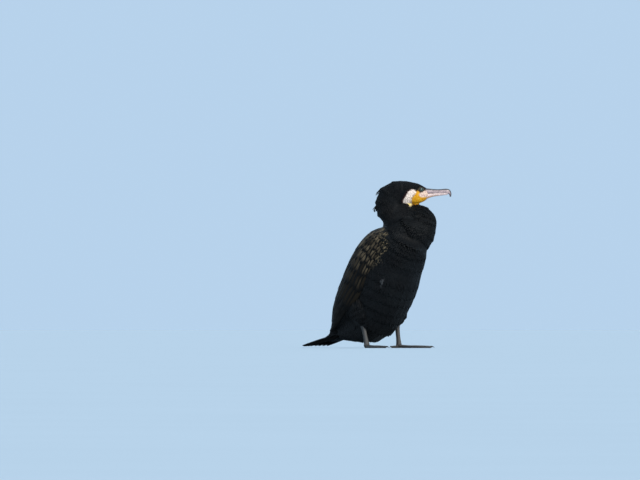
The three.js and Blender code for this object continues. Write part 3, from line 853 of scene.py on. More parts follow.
@dataclass
class BodySkin:
    """One skin over the torso, neck, head, thighs and the hidden parts of wings and tail.

    The pairs are the start and end of a soft change along the named direction.
    """

    frame_nodes: dict[str, bpy.types.Object]
    voxel: float = 2.0
    wing_inset: float = 3.0
    smoothing: int = 14
    fillings: int = 16
    nodes: tuple[str, ...] = ("torso", "neck_lower", "neck_upper", "head", "gular_pouch", "thigh_left",
                              "thigh_right")
    face_forward: tuple[float, float] = (60.0, 90.0)
    face_up: tuple[float, float] = (388.0, 396.0)
    collar_near: tuple[float, float] = (70.0, 40.0)
    collar_up: tuple[float, float] = (384.0, 366.0)
    nape_forward: tuple[float, float] = (84.0, 62.0)
    nape_up: tuple[float, float] = (372.0, 388.0)
    neck_up: tuple[float, float] = (400.0, 385.0)
    bronze_up: tuple[float, float] = (222.0, 262.0)
    fleck_up: float = 190.0
    tail_end: float = -160.0
    wing_clear: float = 4.2

    def gathered(self) -> bpy.types.Object:
        """Joins copies of the solids and the hidden forms into one loose object."""
        hidden = Shell.joined([
            WING_FORM.lofted(60, 60, grow=-self.wing_inset), TAIL_ROOT_FORM.lofted(30, 30, grow=-0.5),
            self.fullness(102.0, 343.0, (48.0, 38.5, 46.0)), self.fullness(25.0, 337.0, (21.0, 28.0, 17.0)),
        ]).as_object("hidden", smooth=False)
        work = bmesh.new()
        for name in self.nodes:
            work.from_mesh(self.frame_nodes[name].data)
        bmesh.ops.remove_doubles(work, verts=work.verts, dist=1e-5)
        work.from_mesh(hidden.data)
        bpy.data.objects.remove(hidden)
        mesh = bpy.data.meshes.new("gathered")
        work.to_mesh(mesh)
        work.free()
        return linked("gathered", mesh)

    def fullness(self, forward: float, up: float, radii: tuple[float, float, float]) -> Shell:
        """Makes a rounded filling on the head's plane.

        Args:
            forward: Its middle along the bill's direction.
            up: Its middle's height.
            radii: Half sizes forward, sideways and up.

        Returns:
            The filling.
        """
        polar = np.linspace(0.05, math.pi - 0.05, 30)[:, None, None]
        angle = circle(40)[None, :, None]
        flat = FORWARD * radii[0] * np.cos(angle) + LEFTWARD * radii[1] * np.sin(angle)
        rise = UP * radii[2] * np.cos(polar)
        return Shell.from_rings(head_point(forward, -3.0, up) + flat * np.sin(polar) + rise)

    def smoothed(self, points: Array, edges: Array, share: Array, times: int, keep: bool = False) -> Array:
        """Moves points towards the middle of their neighbours.

        Args:
            points: Places or any values of the points.
            edges: Pairs of neighbours.
            share: How far each point moves each time.
            times: How many times.
            keep: Whether each step is followed by one outwards, which keeps the volume.

        Returns:
            The smoothed places.
        """
        count = len(points)
        pairs = np.concatenate([edges, edges[:, ::-1]])
        degree = np.bincount(pairs[:, 0], minlength=count)[:, None]
        for _ in range(times):
            for way in (1.0, -1.02) if keep else (1.0,):
                total = np.stack([np.bincount(pairs[:, 0], points[pairs[:, 1], k], count)
                                  for k in range(points.shape[1])], 1)
                points = points + way * share * (total / np.maximum(degree, 1) - points)
        return points

    def settled(self, mesh: bpy.types.Mesh, points: Array) -> Array:
        """Writes places to the mesh and reads its outward directions."""
        mesh.vertices.foreach_set("co", Place.metres(points).ravel())
        mesh.update()
        normals = np.empty(len(mesh.vertices) * 3, dtype=np.float32)
        mesh.vertex_normals.foreach_get("vector", normals)
        return normals.reshape(-1, 3).astype(float)

    def limbs(self) -> list[Limb]:
        """Lists the stretches of the body with their feather lengths in millimetres."""
        return [Limb(TORSO_FORM, 17.0, 12.0), Limb(LOWER_NECK_FORM, 10.5, 7.5),
                Limb(NECK_FOLD_FORM, 7.2, 6.4), Limb(UPPER_NECK_FORM, 6.4, 5.2), Limb(HEAD_FORM, 4.6, 2.6),
                Limb(TAIL_ROOT_FORM, 17.0, 19.0, False),
                *(Limb(thigh_form(side), 13.0, 8.0, False) for side in Side)]

    def lie(self, points: Array, normals: Array, edges: Array) -> tuple[Array, Array]:
        """Works out which way the coat lies and how long its feathers are.

        Args:
            points: Places in millimetres.
            normals: Outward directions.
            edges: Pairs of neighbours.

        Returns:
            Directions along the skin, and lengths.
        """
        samples, batch, sharpness = 15, 20000, 14.0
        index = np.linspace(0, FINE_STEPS, samples).astype(int)
        limbs = self.limbs()
        at = np.vstack([limb.form.at[index] for limb in limbs])
        way = np.vstack([limb.form.along[index] * (-1.0 if limb.headward else 1.0) for limb in limbs])
        length = np.concatenate([np.linspace(limb.start_length, limb.end_length, samples) for limb in limbs])
        size = np.concatenate([limb.form.size[index].mean(axis=1) for limb in limbs])
        directions, lengths = np.zeros_like(points), np.zeros(len(points))
        for start in range(0, len(points), batch):
            part = slice(start, start + batch)
            gap = np.linalg.norm(points[part, None] - at[None], axis=2) / size[None]
            weight = np.exp(-sharpness * (gap - gap.min(axis=1)[:, None]))
            weight /= weight.sum(axis=1)[:, None]
            directions[part] = weight @ way
            lengths[part] = weight @ length

        def laid() -> Array:
            """Gives the directions without what points out of the skin, at length 1."""
            along = directions - normals * (directions * normals).sum(axis=1)[:, None]
            return along / np.maximum(np.linalg.norm(along, axis=1)[:, None], 1e-6)

        for _ in range(8):
            directions = self.smoothed(laid(), edges, np.full((len(points), 1), 0.6), 6)
        return laid(), lengths

    def from_wing(self, points: Array) -> Array:
        """Gives how far points lie from the folded wing."""
        share, angle = np.meshgrid(np.linspace(0.02, 0.97, 70), np.linspace(-0.42, math.pi + 0.42, 110))
        surface = WING_FORM.point(share.ravel(), angle.ravel(), -self.wing_inset)
        return PointCloud(surface).nearest(points)

    def markings(self, points: Array) -> dict[str, Array]:
        """Works out the markings of the head and the pale fleck on the flank.

        Args:
            points: Places in millimetres.

        Returns:
            Masks by name, each from 0 to 1.
        """
        on = head_measure(points)
        front = (on[:, 0] > 50.0) & (on[:, 2] > 386.0)
        wobble = 1.1 * np.sin(on[:, 0] * 0.9 + on[:, 1]) * np.cos(on[:, 2] * 1.1)
        moved = on + wobble[:, None] * np.array([1.0, 0.0, 0.7])
        outlines = {"cheek": (CHEEK_OUTLINE, 0.9), "throat": (THROAT_OUTLINE, 0.8),
                    "lore": (LORE_OUTLINE, 1.2), "gape": (GAPE_OUTLINE, 0.9)}
        masks = {name: inside_outline(moved, *drawn) * front for name, drawn in outlines.items()}
        rim = inside_outline(moved + np.array([3.6, 0.0, -0.8]), CHEEK_OUTLINE, 3.4) * front
        masks["cheek_rim"] = np.clip(rim, 0, 1) * 0.8
        masks["low_cheek"] = masks["cheek"] * smooth_step(402.0, 394.0, on[:, 2])
        rise = points[:, 2] - self.fleck_up
        off = np.abs(points @ FORWARD - 4.5 - 0.3 * rise)
        fleck = smooth_step(4.6, 1.5, off) * smooth_step(13.0, 7.0, np.abs(rise))
        masks["fleck"] = fleck * (points[:, 1] < -40.0)
        return masks

    def remeshed(self) -> tuple[bpy.types.Mesh, Array, Array]:
        """Turns the gathered forms into one closed mesh, and gives its points and edges too."""
        loose = self.gathered()
        remesh = loose.modifiers.new("one skin", "REMESH")
        remesh.mode, remesh.voxel_size, remesh.use_smooth_shade = "VOXEL", self.voxel * MM, True
        mesh = bpy.data.meshes.new_from_object(loose.evaluated_get(bpy.context.evaluated_depsgraph_get()))
        bpy.data.objects.remove(loose)
        mesh.name = "body_skin"
        points = np.empty(len(mesh.vertices) * 3)
        mesh.vertices.foreach_get("co", points)
        edges = np.empty(len(mesh.edges) * 2, dtype=np.int32)
        mesh.edges.foreach_get("vertices", edges)
        return mesh, Place.millimetres(points.reshape(-1, 3)), edges.reshape(-1, 2)

    def filled(self, mesh: bpy.types.Mesh, points: Array, edges: Array) -> Array:
        """Fills the creases at the collar and the nape without wearing down what stands out.

        Args:
            mesh: The skin.
            points: Its places.
            edges: Pairs of neighbours.

        Returns:
            The new places.
        """
        for _ in range(self.fillings):
            normals = self.settled(mesh, points)
            collar = np.abs(((points - COLLAR_MIDDLE) @ COLLAR_WAY))
            near = smooth_step(*self.collar_near, collar) * smooth_step(*self.collar_up, points[:, 2])
            nape = smooth_step(*self.nape_forward, points @ FORWARD)
            near = np.maximum(near, nape * smooth_step(*self.nape_up, points[:, 2]))
            moved = self.smoothed(points, edges, (0.65 * near)[:, None], 12)
            out = np.maximum(((moved - points) * normals).sum(axis=1), 0.0)
            out = self.smoothed(out[:, None], edges, np.full((len(points), 1), 0.5), 2)
            points = points + normals * out * near[:, None]
        return points

    def build(self) -> bpy.types.Object:
        """Makes the skin with its markings and the lie of its coat."""
        mesh, points, edges = self.remeshed()
        on = head_measure(points)
        face = smooth_step(*self.face_forward, on[:, 0]) * smooth_step(*self.face_up, on[:, 2])
        points = self.smoothed(points, edges, (0.62 - 0.32 * face)[:, None], self.smoothing, keep=True)
        points = self.filled(mesh, points, edges)
        body = smooth_step(*self.neck_up, points[:, 2])
        points = self.smoothed(points, edges, 0.62 * body[:, None], 16, keep=True)
        normals = self.settled(mesh, points)
        ways, lengths = self.lie(points, normals, edges)
        depth = np.interp(lengths, [3.0, 5.0, 9.0, 17.0], [0.3, 0.8, 1.5, 2.6])
        points = points - normals * depth[:, None]
        self.settled(mesh, points)
        values = self.markings(points)
        wing = self.from_wing(points)
        reach = 17.0 + 5.0 * np.sin(points[:, 2] * 0.16) + 3.0 * np.sin(points[:, 2] * 0.41 + points[:, 1])
        values |= {
            "bare": np.maximum(np.maximum(values["throat"], values["lore"]), values["gape"]),
            "hidden": np.maximum(wing < self.wing_clear, points[:, 0] < self.tail_end).astype(float),
            "bronze": smooth_step(0.0, -5.0, wing - reach) * smooth_step(*self.bronze_up, points[:, 2]),
            "feather": lengths, "tone": np.zeros(len(points))}
        write_values(mesh, values)
        lie = mesh.attributes.new("lie", "FLOAT_VECTOR", "POINT")
        lie.data.foreach_set("vector", ways.astype(np.float32).ravel())
        mesh.shade_smooth()
        skin = linked("body_skin", mesh)
        self.unwrap(skin)
        return skin

    def unwrap(self, skin: bpy.types.Object) -> None:
        """Unwraps the skin by its own shape."""
        skin.data.uv_layers.new(name="OFBake")
        bpy.context.view_layer.objects.active = skin
        skin.select_set(True)
        bpy.ops.object.mode_set(mode="EDIT")
        bpy.ops.mesh.select_all(action="SELECT")
        bpy.ops.uv.smart_project(angle_limit=math.radians(66), island_margin=0.002)
        bpy.ops.object.mode_set(mode="OBJECT")
        skin.select_set(False)


class PointCloud:
    """Finds how far points lie from a cloud."""

    def __init__(self, cloud: Array) -> None:
        """Builds the search tree once."""
        self.tree = KDTree(len(cloud))
        for index, place in enumerate(cloud):
            self.tree.insert(place, index)
        self.tree.balance()

    def nearest(self, points: Array) -> Array:
        """Gives the distance to the nearest point of the cloud."""
        return np.array([self.tree.find(place)[2] for place in points])


@dataclass
class Feather:
    """The small vane that a coat repeats, one unit long, lying along +Y."""

    width: float
    camber: float
    curl: float
    depth: float = 0.06
    rows: tuple[float, ...] = (0.0, 0.3, 0.62, 0.86, 1.0)
    outline: tuple[float, ...] = (0.35, 0.85, 1.0, 0.8, 0.3)

    def build(self, name: str) -> bpy.types.Object:
        """Makes the closed thin vane with its own UV map.

        Args:
            name: The helper object's name.

        Returns:
            The object, which isn't linked to the scene.
        """
        points, uv = [], []
        for along, share in zip(self.rows, self.outline):
            rise = self.curl * math.sin(along * math.pi * 0.9)
            half = 0.5 * self.width * share
            for x, z, u in ((-half, rise - self.camber, 0.5 - 0.5 * share), (0.0, rise, 0.5),
                            (half, rise - self.camber, 0.5 + 0.5 * share), (0.0, rise - self.depth, 0.5)):
                points.append((x, along, z))
                uv.append((u, along))
        faces = []
        for i in range(len(self.rows) - 1):
            for j in range(4):
                k = (j + 1) % 4
                faces.append((i * 4 + j, i * 4 + k, i * 4 + 4 + k, i * 4 + 4 + j))
        end = (len(self.rows) - 1) * 4
        faces += [(3, 2, 1, 0), (end, end + 1, end + 2, end + 3)]
        mesh = bpy.data.meshes.new(name)
        mesh.from_pydata(points, [], faces)
        write_uv(mesh, "vane", np.array(uv))
        turn_outwards(mesh)
        mesh.shade_smooth()
        return bpy.data.objects.new(name, mesh)


@dataclass
class Coat:
    """Small feathers scattered over a zone of the skin by Geometry Nodes."""

    name: str
    shortest: float
    longest: float
    spacing: float
    feather: Feather
    tilt: float
    seed: int
    overlap: float
    yaw: float = 0.16
    sizes: tuple[float, float] = (0.88, 1.14)
    patch: float = 0.003

    def tree(self, material: bpy.types.Material) -> bpy.types.NodeTree:
        """Builds the node tree with named inputs.

        Args:
            material: What the coat is made of.

        Returns:
            The tree, ready for a modifier.
        """
        tree = bpy.data.node_groups.new(self.name, "GeometryNodeTree")
        wire = Wiring(tree)
        kinds = {"Skin": "Geometry", "Feather": "Object", "Spacing": "Float", "Shortest": "Float",
                 "Longest": "Float", "Tilt": "Float", "Overlap": "Float", "Seed": "Int"}
        for label, kind in kinds.items():
            tree.interface.new_socket(label, in_out="INPUT", socket_type="NodeSocket" + kind)
        tree.interface.new_socket("Coat", in_out="OUTPUT", socket_type="NodeSocketGeometry")
        given = wire.add("NodeGroupInput")
        result = wire.add("NodeGroupOutput")

        def read(label: str, kind: str = "FLOAT") -> bpy.types.NodeSocket:
            """Reads an attribute of the skin."""
            node = wire.add("GeometryNodeInputNamedAttribute", {"Name": label}, data_type=kind)
            return next(s for s in node.outputs if s.enabled and s.name == "Attribute")

        length = read("feather")
        above = wire.math("GREATER_THAN", length, given.outputs["Shortest"])
        below = wire.math("LESS_THAN", length, given.outputs["Longest"])
        covered = wire.math("LESS_THAN", wire.math("ADD", read("bare"), read("hidden")), 0.5)
        chosen = wire.math("MULTIPLY", wire.math("MULTIPLY", above, below), covered)
        spread = wire.add("GeometryNodeDistributePointsOnFaces", {
            "Mesh": given.outputs["Skin"], "Selection": chosen, "Distance Min": given.outputs["Spacing"],
            "Density Max": 1.0e7, "Seed": given.outputs["Seed"]}, distribute_method="POISSON")
        place = read("OFBake", "FLOAT_VECTOR")
        stored = wire.add("GeometryNodeStoreNamedAttribute", {
            "Geometry": spread.outputs["Points"], "Name": "root_uv", "Value": place},
            data_type="FLOAT_VECTOR", domain="POINT")
        tone = wire.add("FunctionNodeRandomValue", {"Seed": given.outputs["Seed"]}, data_type="FLOAT")
        toned = wire.add("GeometryNodeStoreNamedAttribute", {
            "Geometry": stored.outputs[0], "Name": "tone", "Value": tone.outputs[1]},
            data_type="FLOAT", domain="POINT")
        normal = spread.outputs["Normal"]
        upright = wire.add("FunctionNodeAlignRotationToVector", {"Vector": normal}, axis="Z")
        laid = wire.add("FunctionNodeAlignRotationToVector", {
            "Rotation": upright.outputs[0], "Vector": read("lie", "FLOAT_VECTOR")}, axis="Y", pivot_axis="Z")
        number = wire.add("GeometryNodeInputIndex").outputs[0]
        yaw = wire.add("FunctionNodeRandomValue", {2: -self.yaw, 3: self.yaw, "ID": number, "Seed": 7},
                       data_type="FLOAT")
        lift = wire.math("RADIANS", given.outputs["Tilt"])
        turn = wire.add("ShaderNodeCombineXYZ", {0: lift, 2: yaw.outputs[1]})
        euler = wire.add("FunctionNodeEulerToRotation", {0: turn.outputs[0]})
        turned = wire.add("FunctionNodeRotateRotation", {0: laid.outputs[0], 1: euler.outputs[0]},
                          rotation_space="LOCAL")
        vary = wire.add("FunctionNodeRandomValue", {2: self.sizes[0], 3: self.sizes[1], "Seed": 3},
                        data_type="FLOAT")
        scale = wire.math("MULTIPLY", wire.math("MULTIPLY", length, vary.outputs[1]),
                          wire.math("MULTIPLY", given.outputs["Overlap"], MM))
        feather = wire.add("GeometryNodeObjectInfo", {"Object": given.outputs["Feather"]})
        placed = wire.add("GeometryNodeInstanceOnPoints", {
            "Points": toned.outputs[0], "Instance": feather.outputs["Geometry"],
            "Rotation": turned.outputs[0], "Scale": scale})
        real = wire.add("GeometryNodeRealizeInstances", {0: placed.outputs[0]})
        finished = wire.add("GeometryNodeSetMaterial", {"Geometry": real.outputs[0], "Material": material})
        tree.links.new(finished.outputs[0], result.inputs[0])
        return tree

    def build(self, skin: bpy.types.Object, material: bpy.types.Material) -> bpy.types.Object:
        """Scatters the coat over the skin and makes it a plain mesh.

        Args:
            skin: The skin, with its attributes.
            material: What the coat is made of.

        Returns:
            The coat, each feather with its patch in OFBake.
        """
        carrier = linked("carrier", skin.data)
        vane = self.feather.build(self.name + "_feather")
        tree = self.tree(material)
        modifier = carrier.modifiers.new(self.name, "NODES")
        modifier.node_group = tree
        given = {"Feather": vane, "Spacing": self.spacing * MM, "Shortest": self.shortest,
                 "Longest": self.longest, "Tilt": self.tilt, "Seed": self.seed, "Overlap": self.overlap}
        for item in tree.interface.items_tree:
            if item.item_type == "SOCKET" and item.in_out == "INPUT" and item.name in given:
                modifier[item.identifier] = given[item.name]
        evaluated = carrier.evaluated_get(bpy.context.evaluated_depsgraph_get())
        mesh = bpy.data.meshes.new_from_object(evaluated)
        carrier.modifiers.clear()
        bpy.data.objects.remove(carrier)
        bpy.data.objects.remove(vane)
        mesh.name = self.name
        self.lay_patches(mesh)
        return linked(self.name, mesh)

    def lay_patches(self, mesh: bpy.types.Mesh) -> None:
        """Writes the map in which each feather is a small patch at its root's place."""
        root = read_vectors(mesh, "root_uv")[:, :2]
        local = np.empty(len(mesh.loops) * 2, dtype=np.float32)
        mesh.uv_layers["vane"].data.foreach_get("uv", local)
        corner = root[corner_points(mesh)] + (local.reshape(-1, 2) - 0.5) * self.patch
        for label in ("OFBake", "root_uv", "lie", "bare", "hidden", "feather"):
            if label in mesh.attributes:
                mesh.attributes.remove(mesh.attributes[label])
        mesh.uv_layers.new(name="OFBake").data.foreach_set("uv", np.clip(corner, 0.0, 1.0).ravel())


Ends = tuple[tuple[float, float], tuple[float, float]]
NO_ENDS = ((0.0, 0.0), (0.0, 0.0))


@dataclass(frozen=True)
class Tier:
    """A row of large feathers on a form: each end as root and tip, given as (share of length, angle)."""

    count: int
    half: float
    first: Ends
    last: Ends
    rise: tuple[float, float]
    tilt: float = 0.5
    pointed: float = 0.85
    fade: float = 0.0


class VaneMaker:
    """Lays large closed vanes along a form's surface."""

    ALONG = np.array([0.0, 0.14, 0.3, 0.45, 0.58, 0.7, 0.8, 0.88, 0.94, 0.98, 1.0])
    ACROSS = np.array([-1.0, -0.72, -0.36, 0.0, 0.36, 0.72, 1.0])
    THICK = 0.55
    SPLIT_CHANCE, SPLIT_DEPTH, UNEVEN = 0.35, 0.84, 0.03

    def __init__(self, seed: int) -> None:
        """Starts the seeded variation."""
        self.random = np.random.default_rng(seed)

    def outline(self, pointed: float) -> Array:
        """Gives the half width along a vane, rounded or pointed at its tip."""
        s = self.ALONG
        body = 0.6 + 0.4 * smooth_step(0.0, 0.35, s)
        tip = np.sqrt(np.clip(1.0 - (np.clip(s - 0.55, 0, None) / 0.45) ** (1.2 / pointed), 0.0, 1.0))
        return np.maximum(body * tip, 0.04)

    def closed(self, top: Array, normal: Array, thick: float) -> Shell:
        """Closes a grid of points with an underside that meets it at the edges.

        Args:
            top: The upper grid.
            normal: Outward directions of the grid.
            thick: Thickness at the middle.

        Returns:
            The vane.
        """
        rows, cols = top.shape[:2]
        under = top - normal * thick
        index = np.arange(rows * cols).reshape(rows, cols)
        lower = index.copy()
        lower[1:-1, 1:-1] = rows * cols + np.arange((rows - 2) * (cols - 2)).reshape(rows - 2, cols - 2)
        points = np.vstack([top.reshape(-1, 3), under[1:-1, 1:-1].reshape(-1, 3)])
        faces = []
        for i in range(rows - 1):
            for j in range(cols - 1):
                faces.append((index[i, j], index[i, j + 1], index[i + 1, j + 1], index[i + 1, j]))
                faces.append((lower[i, j], lower[i + 1, j], lower[i + 1, j + 1], lower[i, j + 1]))
        u, v = np.meshgrid(0.5 + 0.5 * self.ACROSS, self.ALONG)
        grid_uv = np.stack([u, v], axis=2)
        uv = np.vstack([grid_uv.reshape(-1, 2), grid_uv[1:-1, 1:-1].reshape(-1, 2)])
        tone = np.full(len(points), self.random.random())
        return Shell(points, [tuple(int(v) for v in f) for f in faces], uv, {"tone": tone})

    def edges(self, half: Array) -> Array:
        """Gives each row's half width on both sides, with a few splits in the web."""
        both = half[:, None] * (1.0 + self.UNEVEN * self.random.standard_normal((len(half), 2)))
        if self.random.random() < self.SPLIT_CHANCE:
            row, side = self.random.integers(4, len(half) - 2), self.random.integers(0, 2)
            both[row, side] *= self.SPLIT_DEPTH
        return both

    def reach(self, half: float, pointed: float) -> Array:
        """Gives how far each point of a vane lies to the side of its shaft."""
        wide = self.edges(half * self.outline(pointed))
        return np.where(self.ACROSS < 0, wide[:, :1], wide[:, 1:]) * self.ACROSS

    def on_form(self, form: Form, side: Side, tier: Tier, root: Array, tip: Array,
                seam: float = 0.04) -> Shell:
        """Lays one vane on a form.

        Args:
            form: The form it lies on.
            side: The bird's side.
            tier: Sizes of its row.
            root: Share of length and angle at its root.
            tip: The same at its tip.
            seam: How far past the middle of the back it may reach, in radians.

        Returns:
            The vane.
        """
        s = self.ALONG
        share = root[0] + (tip[0] - root[0]) * s
        angle = root[1] + (tip[1] - root[1]) * s
        step = 0.02
        ahead, behind = form.point(share, angle + step), form.point(share, angle - step)
        spread = np.linalg.norm(ahead - behind, axis=1) / (2.0 * step)
        reach = self.reach(tier.half, tier.pointed)
        local = np.minimum(angle[:, None] + reach / spread[:, None], math.pi / 2 + seam)
        if side is Side.RIGHT:
            local = math.pi - local
        lengthwise = np.repeat(share[:, None], len(self.ACROSS), axis=1)
        normal = form.normal(lengthwise, local)
        rise = tier.rise[0] + (tier.rise[1] - tier.rise[0]) * s**0.8
        bow = 0.55 * (1.0 - self.ACROSS**2)[None, :] + tier.tilt * self.ACROSS[None, :]
        height = rise[:, None] + bow
        vane = self.closed(form.point(lengthwise, local) + normal * height[..., None], normal, self.THICK)
        vane.values["tone"] = np.clip(tier.fade + 0.8 * vane.values["tone"] ** 1.6, 0.0, 1.0)
        return vane

    def straight(self, root: Array, tip: Array, half: float, thick: float, pointed: float,
                 tilt: float) -> Shell:
        """Lays one straight vane facing up.

        Args:
            root: Its root.
            tip: Its tip.
            half: Half its width.
            thick: Its thickness.
            pointed: How pointed its tip is.
            tilt: How much its left edge is raised.

        Returns:
            The vane.
        """
        way = unit(tip - root)
        up = unit(UP - way * way[2])
        side = np.cross(up, way)
        middle = root + (tip - root) * self.ALONG[:, None]
        reach = self.reach(half, pointed)
        height = 0.5 * (1.0 - np.abs(self.ACROSS) ** 1.5)[None, :] + tilt * self.ACROSS[None, :]
        height = np.broadcast_to(height, reach.shape)
        top = middle[:, None, :] + side * reach[..., None] + up * height[..., None]
        return self.closed(top, np.broadcast_to(up, top.shape), thick)


def vane_object(name: str, vanes: list[Shell]) -> bpy.types.Object:
    """Joins vanes as one piece, each with its own cell of the map named OFBake.

    Args:
        name: The piece's name.
        vanes: The vanes.

    Returns:
        The piece.
    """
    margin = 0.06
    columns = math.ceil(math.sqrt(len(vanes) / 2.0))
    rows = math.ceil(len(vanes) / columns)
    cells = []
    for number, vane in enumerate(vanes):
        corner = np.array([number % columns / columns, number // columns / rows])
        cells.append(corner + (margin + (1.0 - 2.0 * margin) * vane.uv) / np.array([columns, rows]))
    piece = Shell.joined(vanes).as_object(name)
    write_uv(piece.data, "OFBake", np.vstack(cells))
    return piece


@dataclass
class FoldedWing:
    """One folded wing: flight feathers under tiers of coverts, and scapulars over the shoulder."""

    side: Side
    tip_play: tuple[float, float] = (0.011, 0.035)
    flight: tuple[Tier, ...] = (
        Tier(9, 8.5, ((0.46, -0.30), (0.125, -0.17)), ((0.42, 0.60), (0.008, 1.08)), (-0.6, 0.6), 0.4, 0.9),
        Tier(10, 9.5, ((0.60, -0.02), (0.25, 0.10)), ((0.56, 1.42), (0.095, 1.45)), (-0.4, 1.4), 0.5, 0.8))
    coverts: tuple[Tier, ...] = (
        Tier(11, 9.5, ((0.68, -0.45), (0.41, -0.38)), ((0.65, 1.42), (0.35, 1.45)), (-0.2, 1.6), fade=0.97),
        Tier(12, 9.2, ((0.76, -0.50), (0.55, -0.46)), ((0.74, 1.42), (0.52, 1.45)), (0.0, 1.8), fade=0.8),
        Tier(14, 8.2, ((0.82, -0.54), (0.655, -0.50)), ((0.81, 1.42), (0.63, 1.45)), (0.1, 1.9), fade=0.5),
        Tier(15, 7.4, ((0.87, -0.54), (0.73, -0.52)), ((0.86, 1.42), (0.71, 1.45)), (0.2, 2.0), fade=0.2),
        Tier(15, 7.0, ((0.91, -0.50), (0.79, -0.50)), ((0.90, 1.42), (0.775, 1.45)), (0.2, 2.0), fade=0.05),
        Tier(14, 6.8, ((0.945, -0.42), (0.845, -0.46)), ((0.94, 1.42), (0.83, 1.45)), (0.3, 2.1), fade=0.0),
        Tier(13, 6.6, ((0.975, -0.32), (0.89, -0.38)), ((0.97, 1.40), (0.88, 1.44)), (0.3, 2.1), fade=0.0),
        Tier(12, 6.6, ((0.998, -0.2), (0.925, -0.28)), ((0.998, 1.36), (0.92, 1.42)), (0.3, 2.1), fade=0.05))
    scapulars: tuple[Tier, ...] = (
        Tier(5, 11.0, ((0.72, 0.76), (0.44, 0.82)), ((0.72, 1.46), (0.40, 1.47)), (1.2, 2.7), 0.5, 0.8, 0.6),
        Tier(6, 10.0, ((0.79, 0.70), (0.57, 0.74)), ((0.79, 1.46), (0.54, 1.47)), (1.4, 2.9), 0.5, 0.8,
             0.35),
        Tier(7, 9.0, ((0.85, 0.64), (0.67, 0.66)), ((0.85, 1.44), (0.65, 1.46)), (1.4, 2.9), fade=0.15),
        Tier(7, 8.2, ((0.90, 0.62), (0.755, 0.62)), ((0.90, 1.44), (0.74, 1.46)), (1.4, 2.9)))

    def tier_vanes(self, maker: VaneMaker, tier: Tier) -> list[Shell]:
        """Lays one row, from the wing's edge to the middle of the back."""
        vanes = []
        (first_root, first_tip), (last_root, last_tip) = (np.array(tier.first), np.array(tier.last))
        for number in range(tier.count):
            share = number / (tier.count - 1)
            root = first_root + (last_root - first_root) * share
            tip = first_tip + (last_tip - first_tip) * share
            tip = tip + maker.random.uniform(-1, 1, 2) * np.array(self.tip_play)
            vanes.append(maker.on_form(WING_FORM, self.side, tier, root, np.maximum(tip, [0.004, -9.0])))
        return vanes

    def build(self, flight: bpy.types.Material, covert: bpy.types.Material,
              scapular: bpy.types.Material) -> None:
        """Makes the wing's pieces.

        Args:
            flight: What the flight feathers are made of.
            covert: What the coverts are made of.
            scapular: What the scapulars are made of.
        """
        maker = VaneMaker(40 + self.side.value)
        groups = (("flight_feathers", self.flight, flight), ("coverts", self.coverts, covert),
                  ("scapulars", self.scapulars, scapular))
        for label, tiers, material in groups:
            vanes = [vane for tier in tiers for vane in self.tier_vanes(maker, tier)]
            piece = vane_object(f"{label}_{self.side.word}", vanes)
            replaced = (f"wing_{self.side.word}",) if label == "coverts" else ()
            dress(piece, material, "wing_feathers", *replaced)


@dataclass
class Mantle:
    """Feathers down the middle of the back, over the seam between the wings."""

    rows: int = 13
    across: int = 4
    spacing: float = 0.13

    def build(self, material: bpy.types.Material) -> None:
        """Makes the rows, the lowest first.

        Args:
            material: What they are made of.
        """
        maker = VaneMaker(91)
        vanes = []
        for number in range(self.rows):
            share = number / (self.rows - 1)
            root = 0.50 + 0.47 * share
            long = 0.20 - 0.12 * share
            tier = Tier(self.across, 8.5 - 2.5 * share, NO_ENDS, NO_ENDS, (2.2, 4.2), fade=0.5 - 0.4 * share)
            for place in range(self.across):
                stagger = 0.5 * (number % 2) - 0.25
                angle = math.pi / 2 + (place - 0.5 * (self.across - 1) + stagger) * self.spacing
                tip = np.array([root - long + maker.random.uniform(-0.01, 0.01), angle])
                vanes.append(maker.on_form(WING_FORM, Side.LEFT, tier, np.array([root, angle]), tip, 1.0))
        dress(vane_object("mantle_feathers", vanes), material, "wing_feathers")


@dataclass
class TailFan:
    """Stiff tail feathers in a closed fan, roofed towards the floor."""

    pairs: int = 7
    length: float = 148.0
    half: float = 10.0
    thick: float = 2.4
    floor_gap: float = 1.5

    def rectrix(self, maker: VaneMaker, side: Side, pair: int) -> Shell:
        """Makes one tail feather.

        Args:
            maker: Lays the vane.
            side: The bird's side.
            pair: Its number from the middle pair outwards.

        Returns:
            The vane.
        """
        way = side.value
        yaw = math.radians(1.1 + pair * 1.75)
        length = self.length - 3.2 * pair - 0.8 * pair**2 + maker.random.uniform(-1.5, 0.0)
        root = np.array([-126.0, way * (2.5 + pair * 2.7), 45 - pair * 1.9])
        tip = root + np.array([-math.cos(yaw) * length, way * math.sin(yaw) * length, 0.0])
        drop = 0.9 * (self.pairs - 1 - pair) + 0.10 * (self.length - length)
        tip[2] = self.floor_gap + drop + (0.5 if side is Side.LEFT else 0.0)
        return maker.straight(root, tip, self.half, self.thick, 0.75, -0.5 * way)

    def build(self, material: bpy.types.Material) -> None:
        """Makes the fan."""
        maker = VaneMaker(77)
        vanes = [self.rectrix(maker, side, pair) for pair in reversed(range(self.pairs)) for side in Side]
        dress(vane_object("tail_feathers", vanes), material, "tail_feathers", "tail")


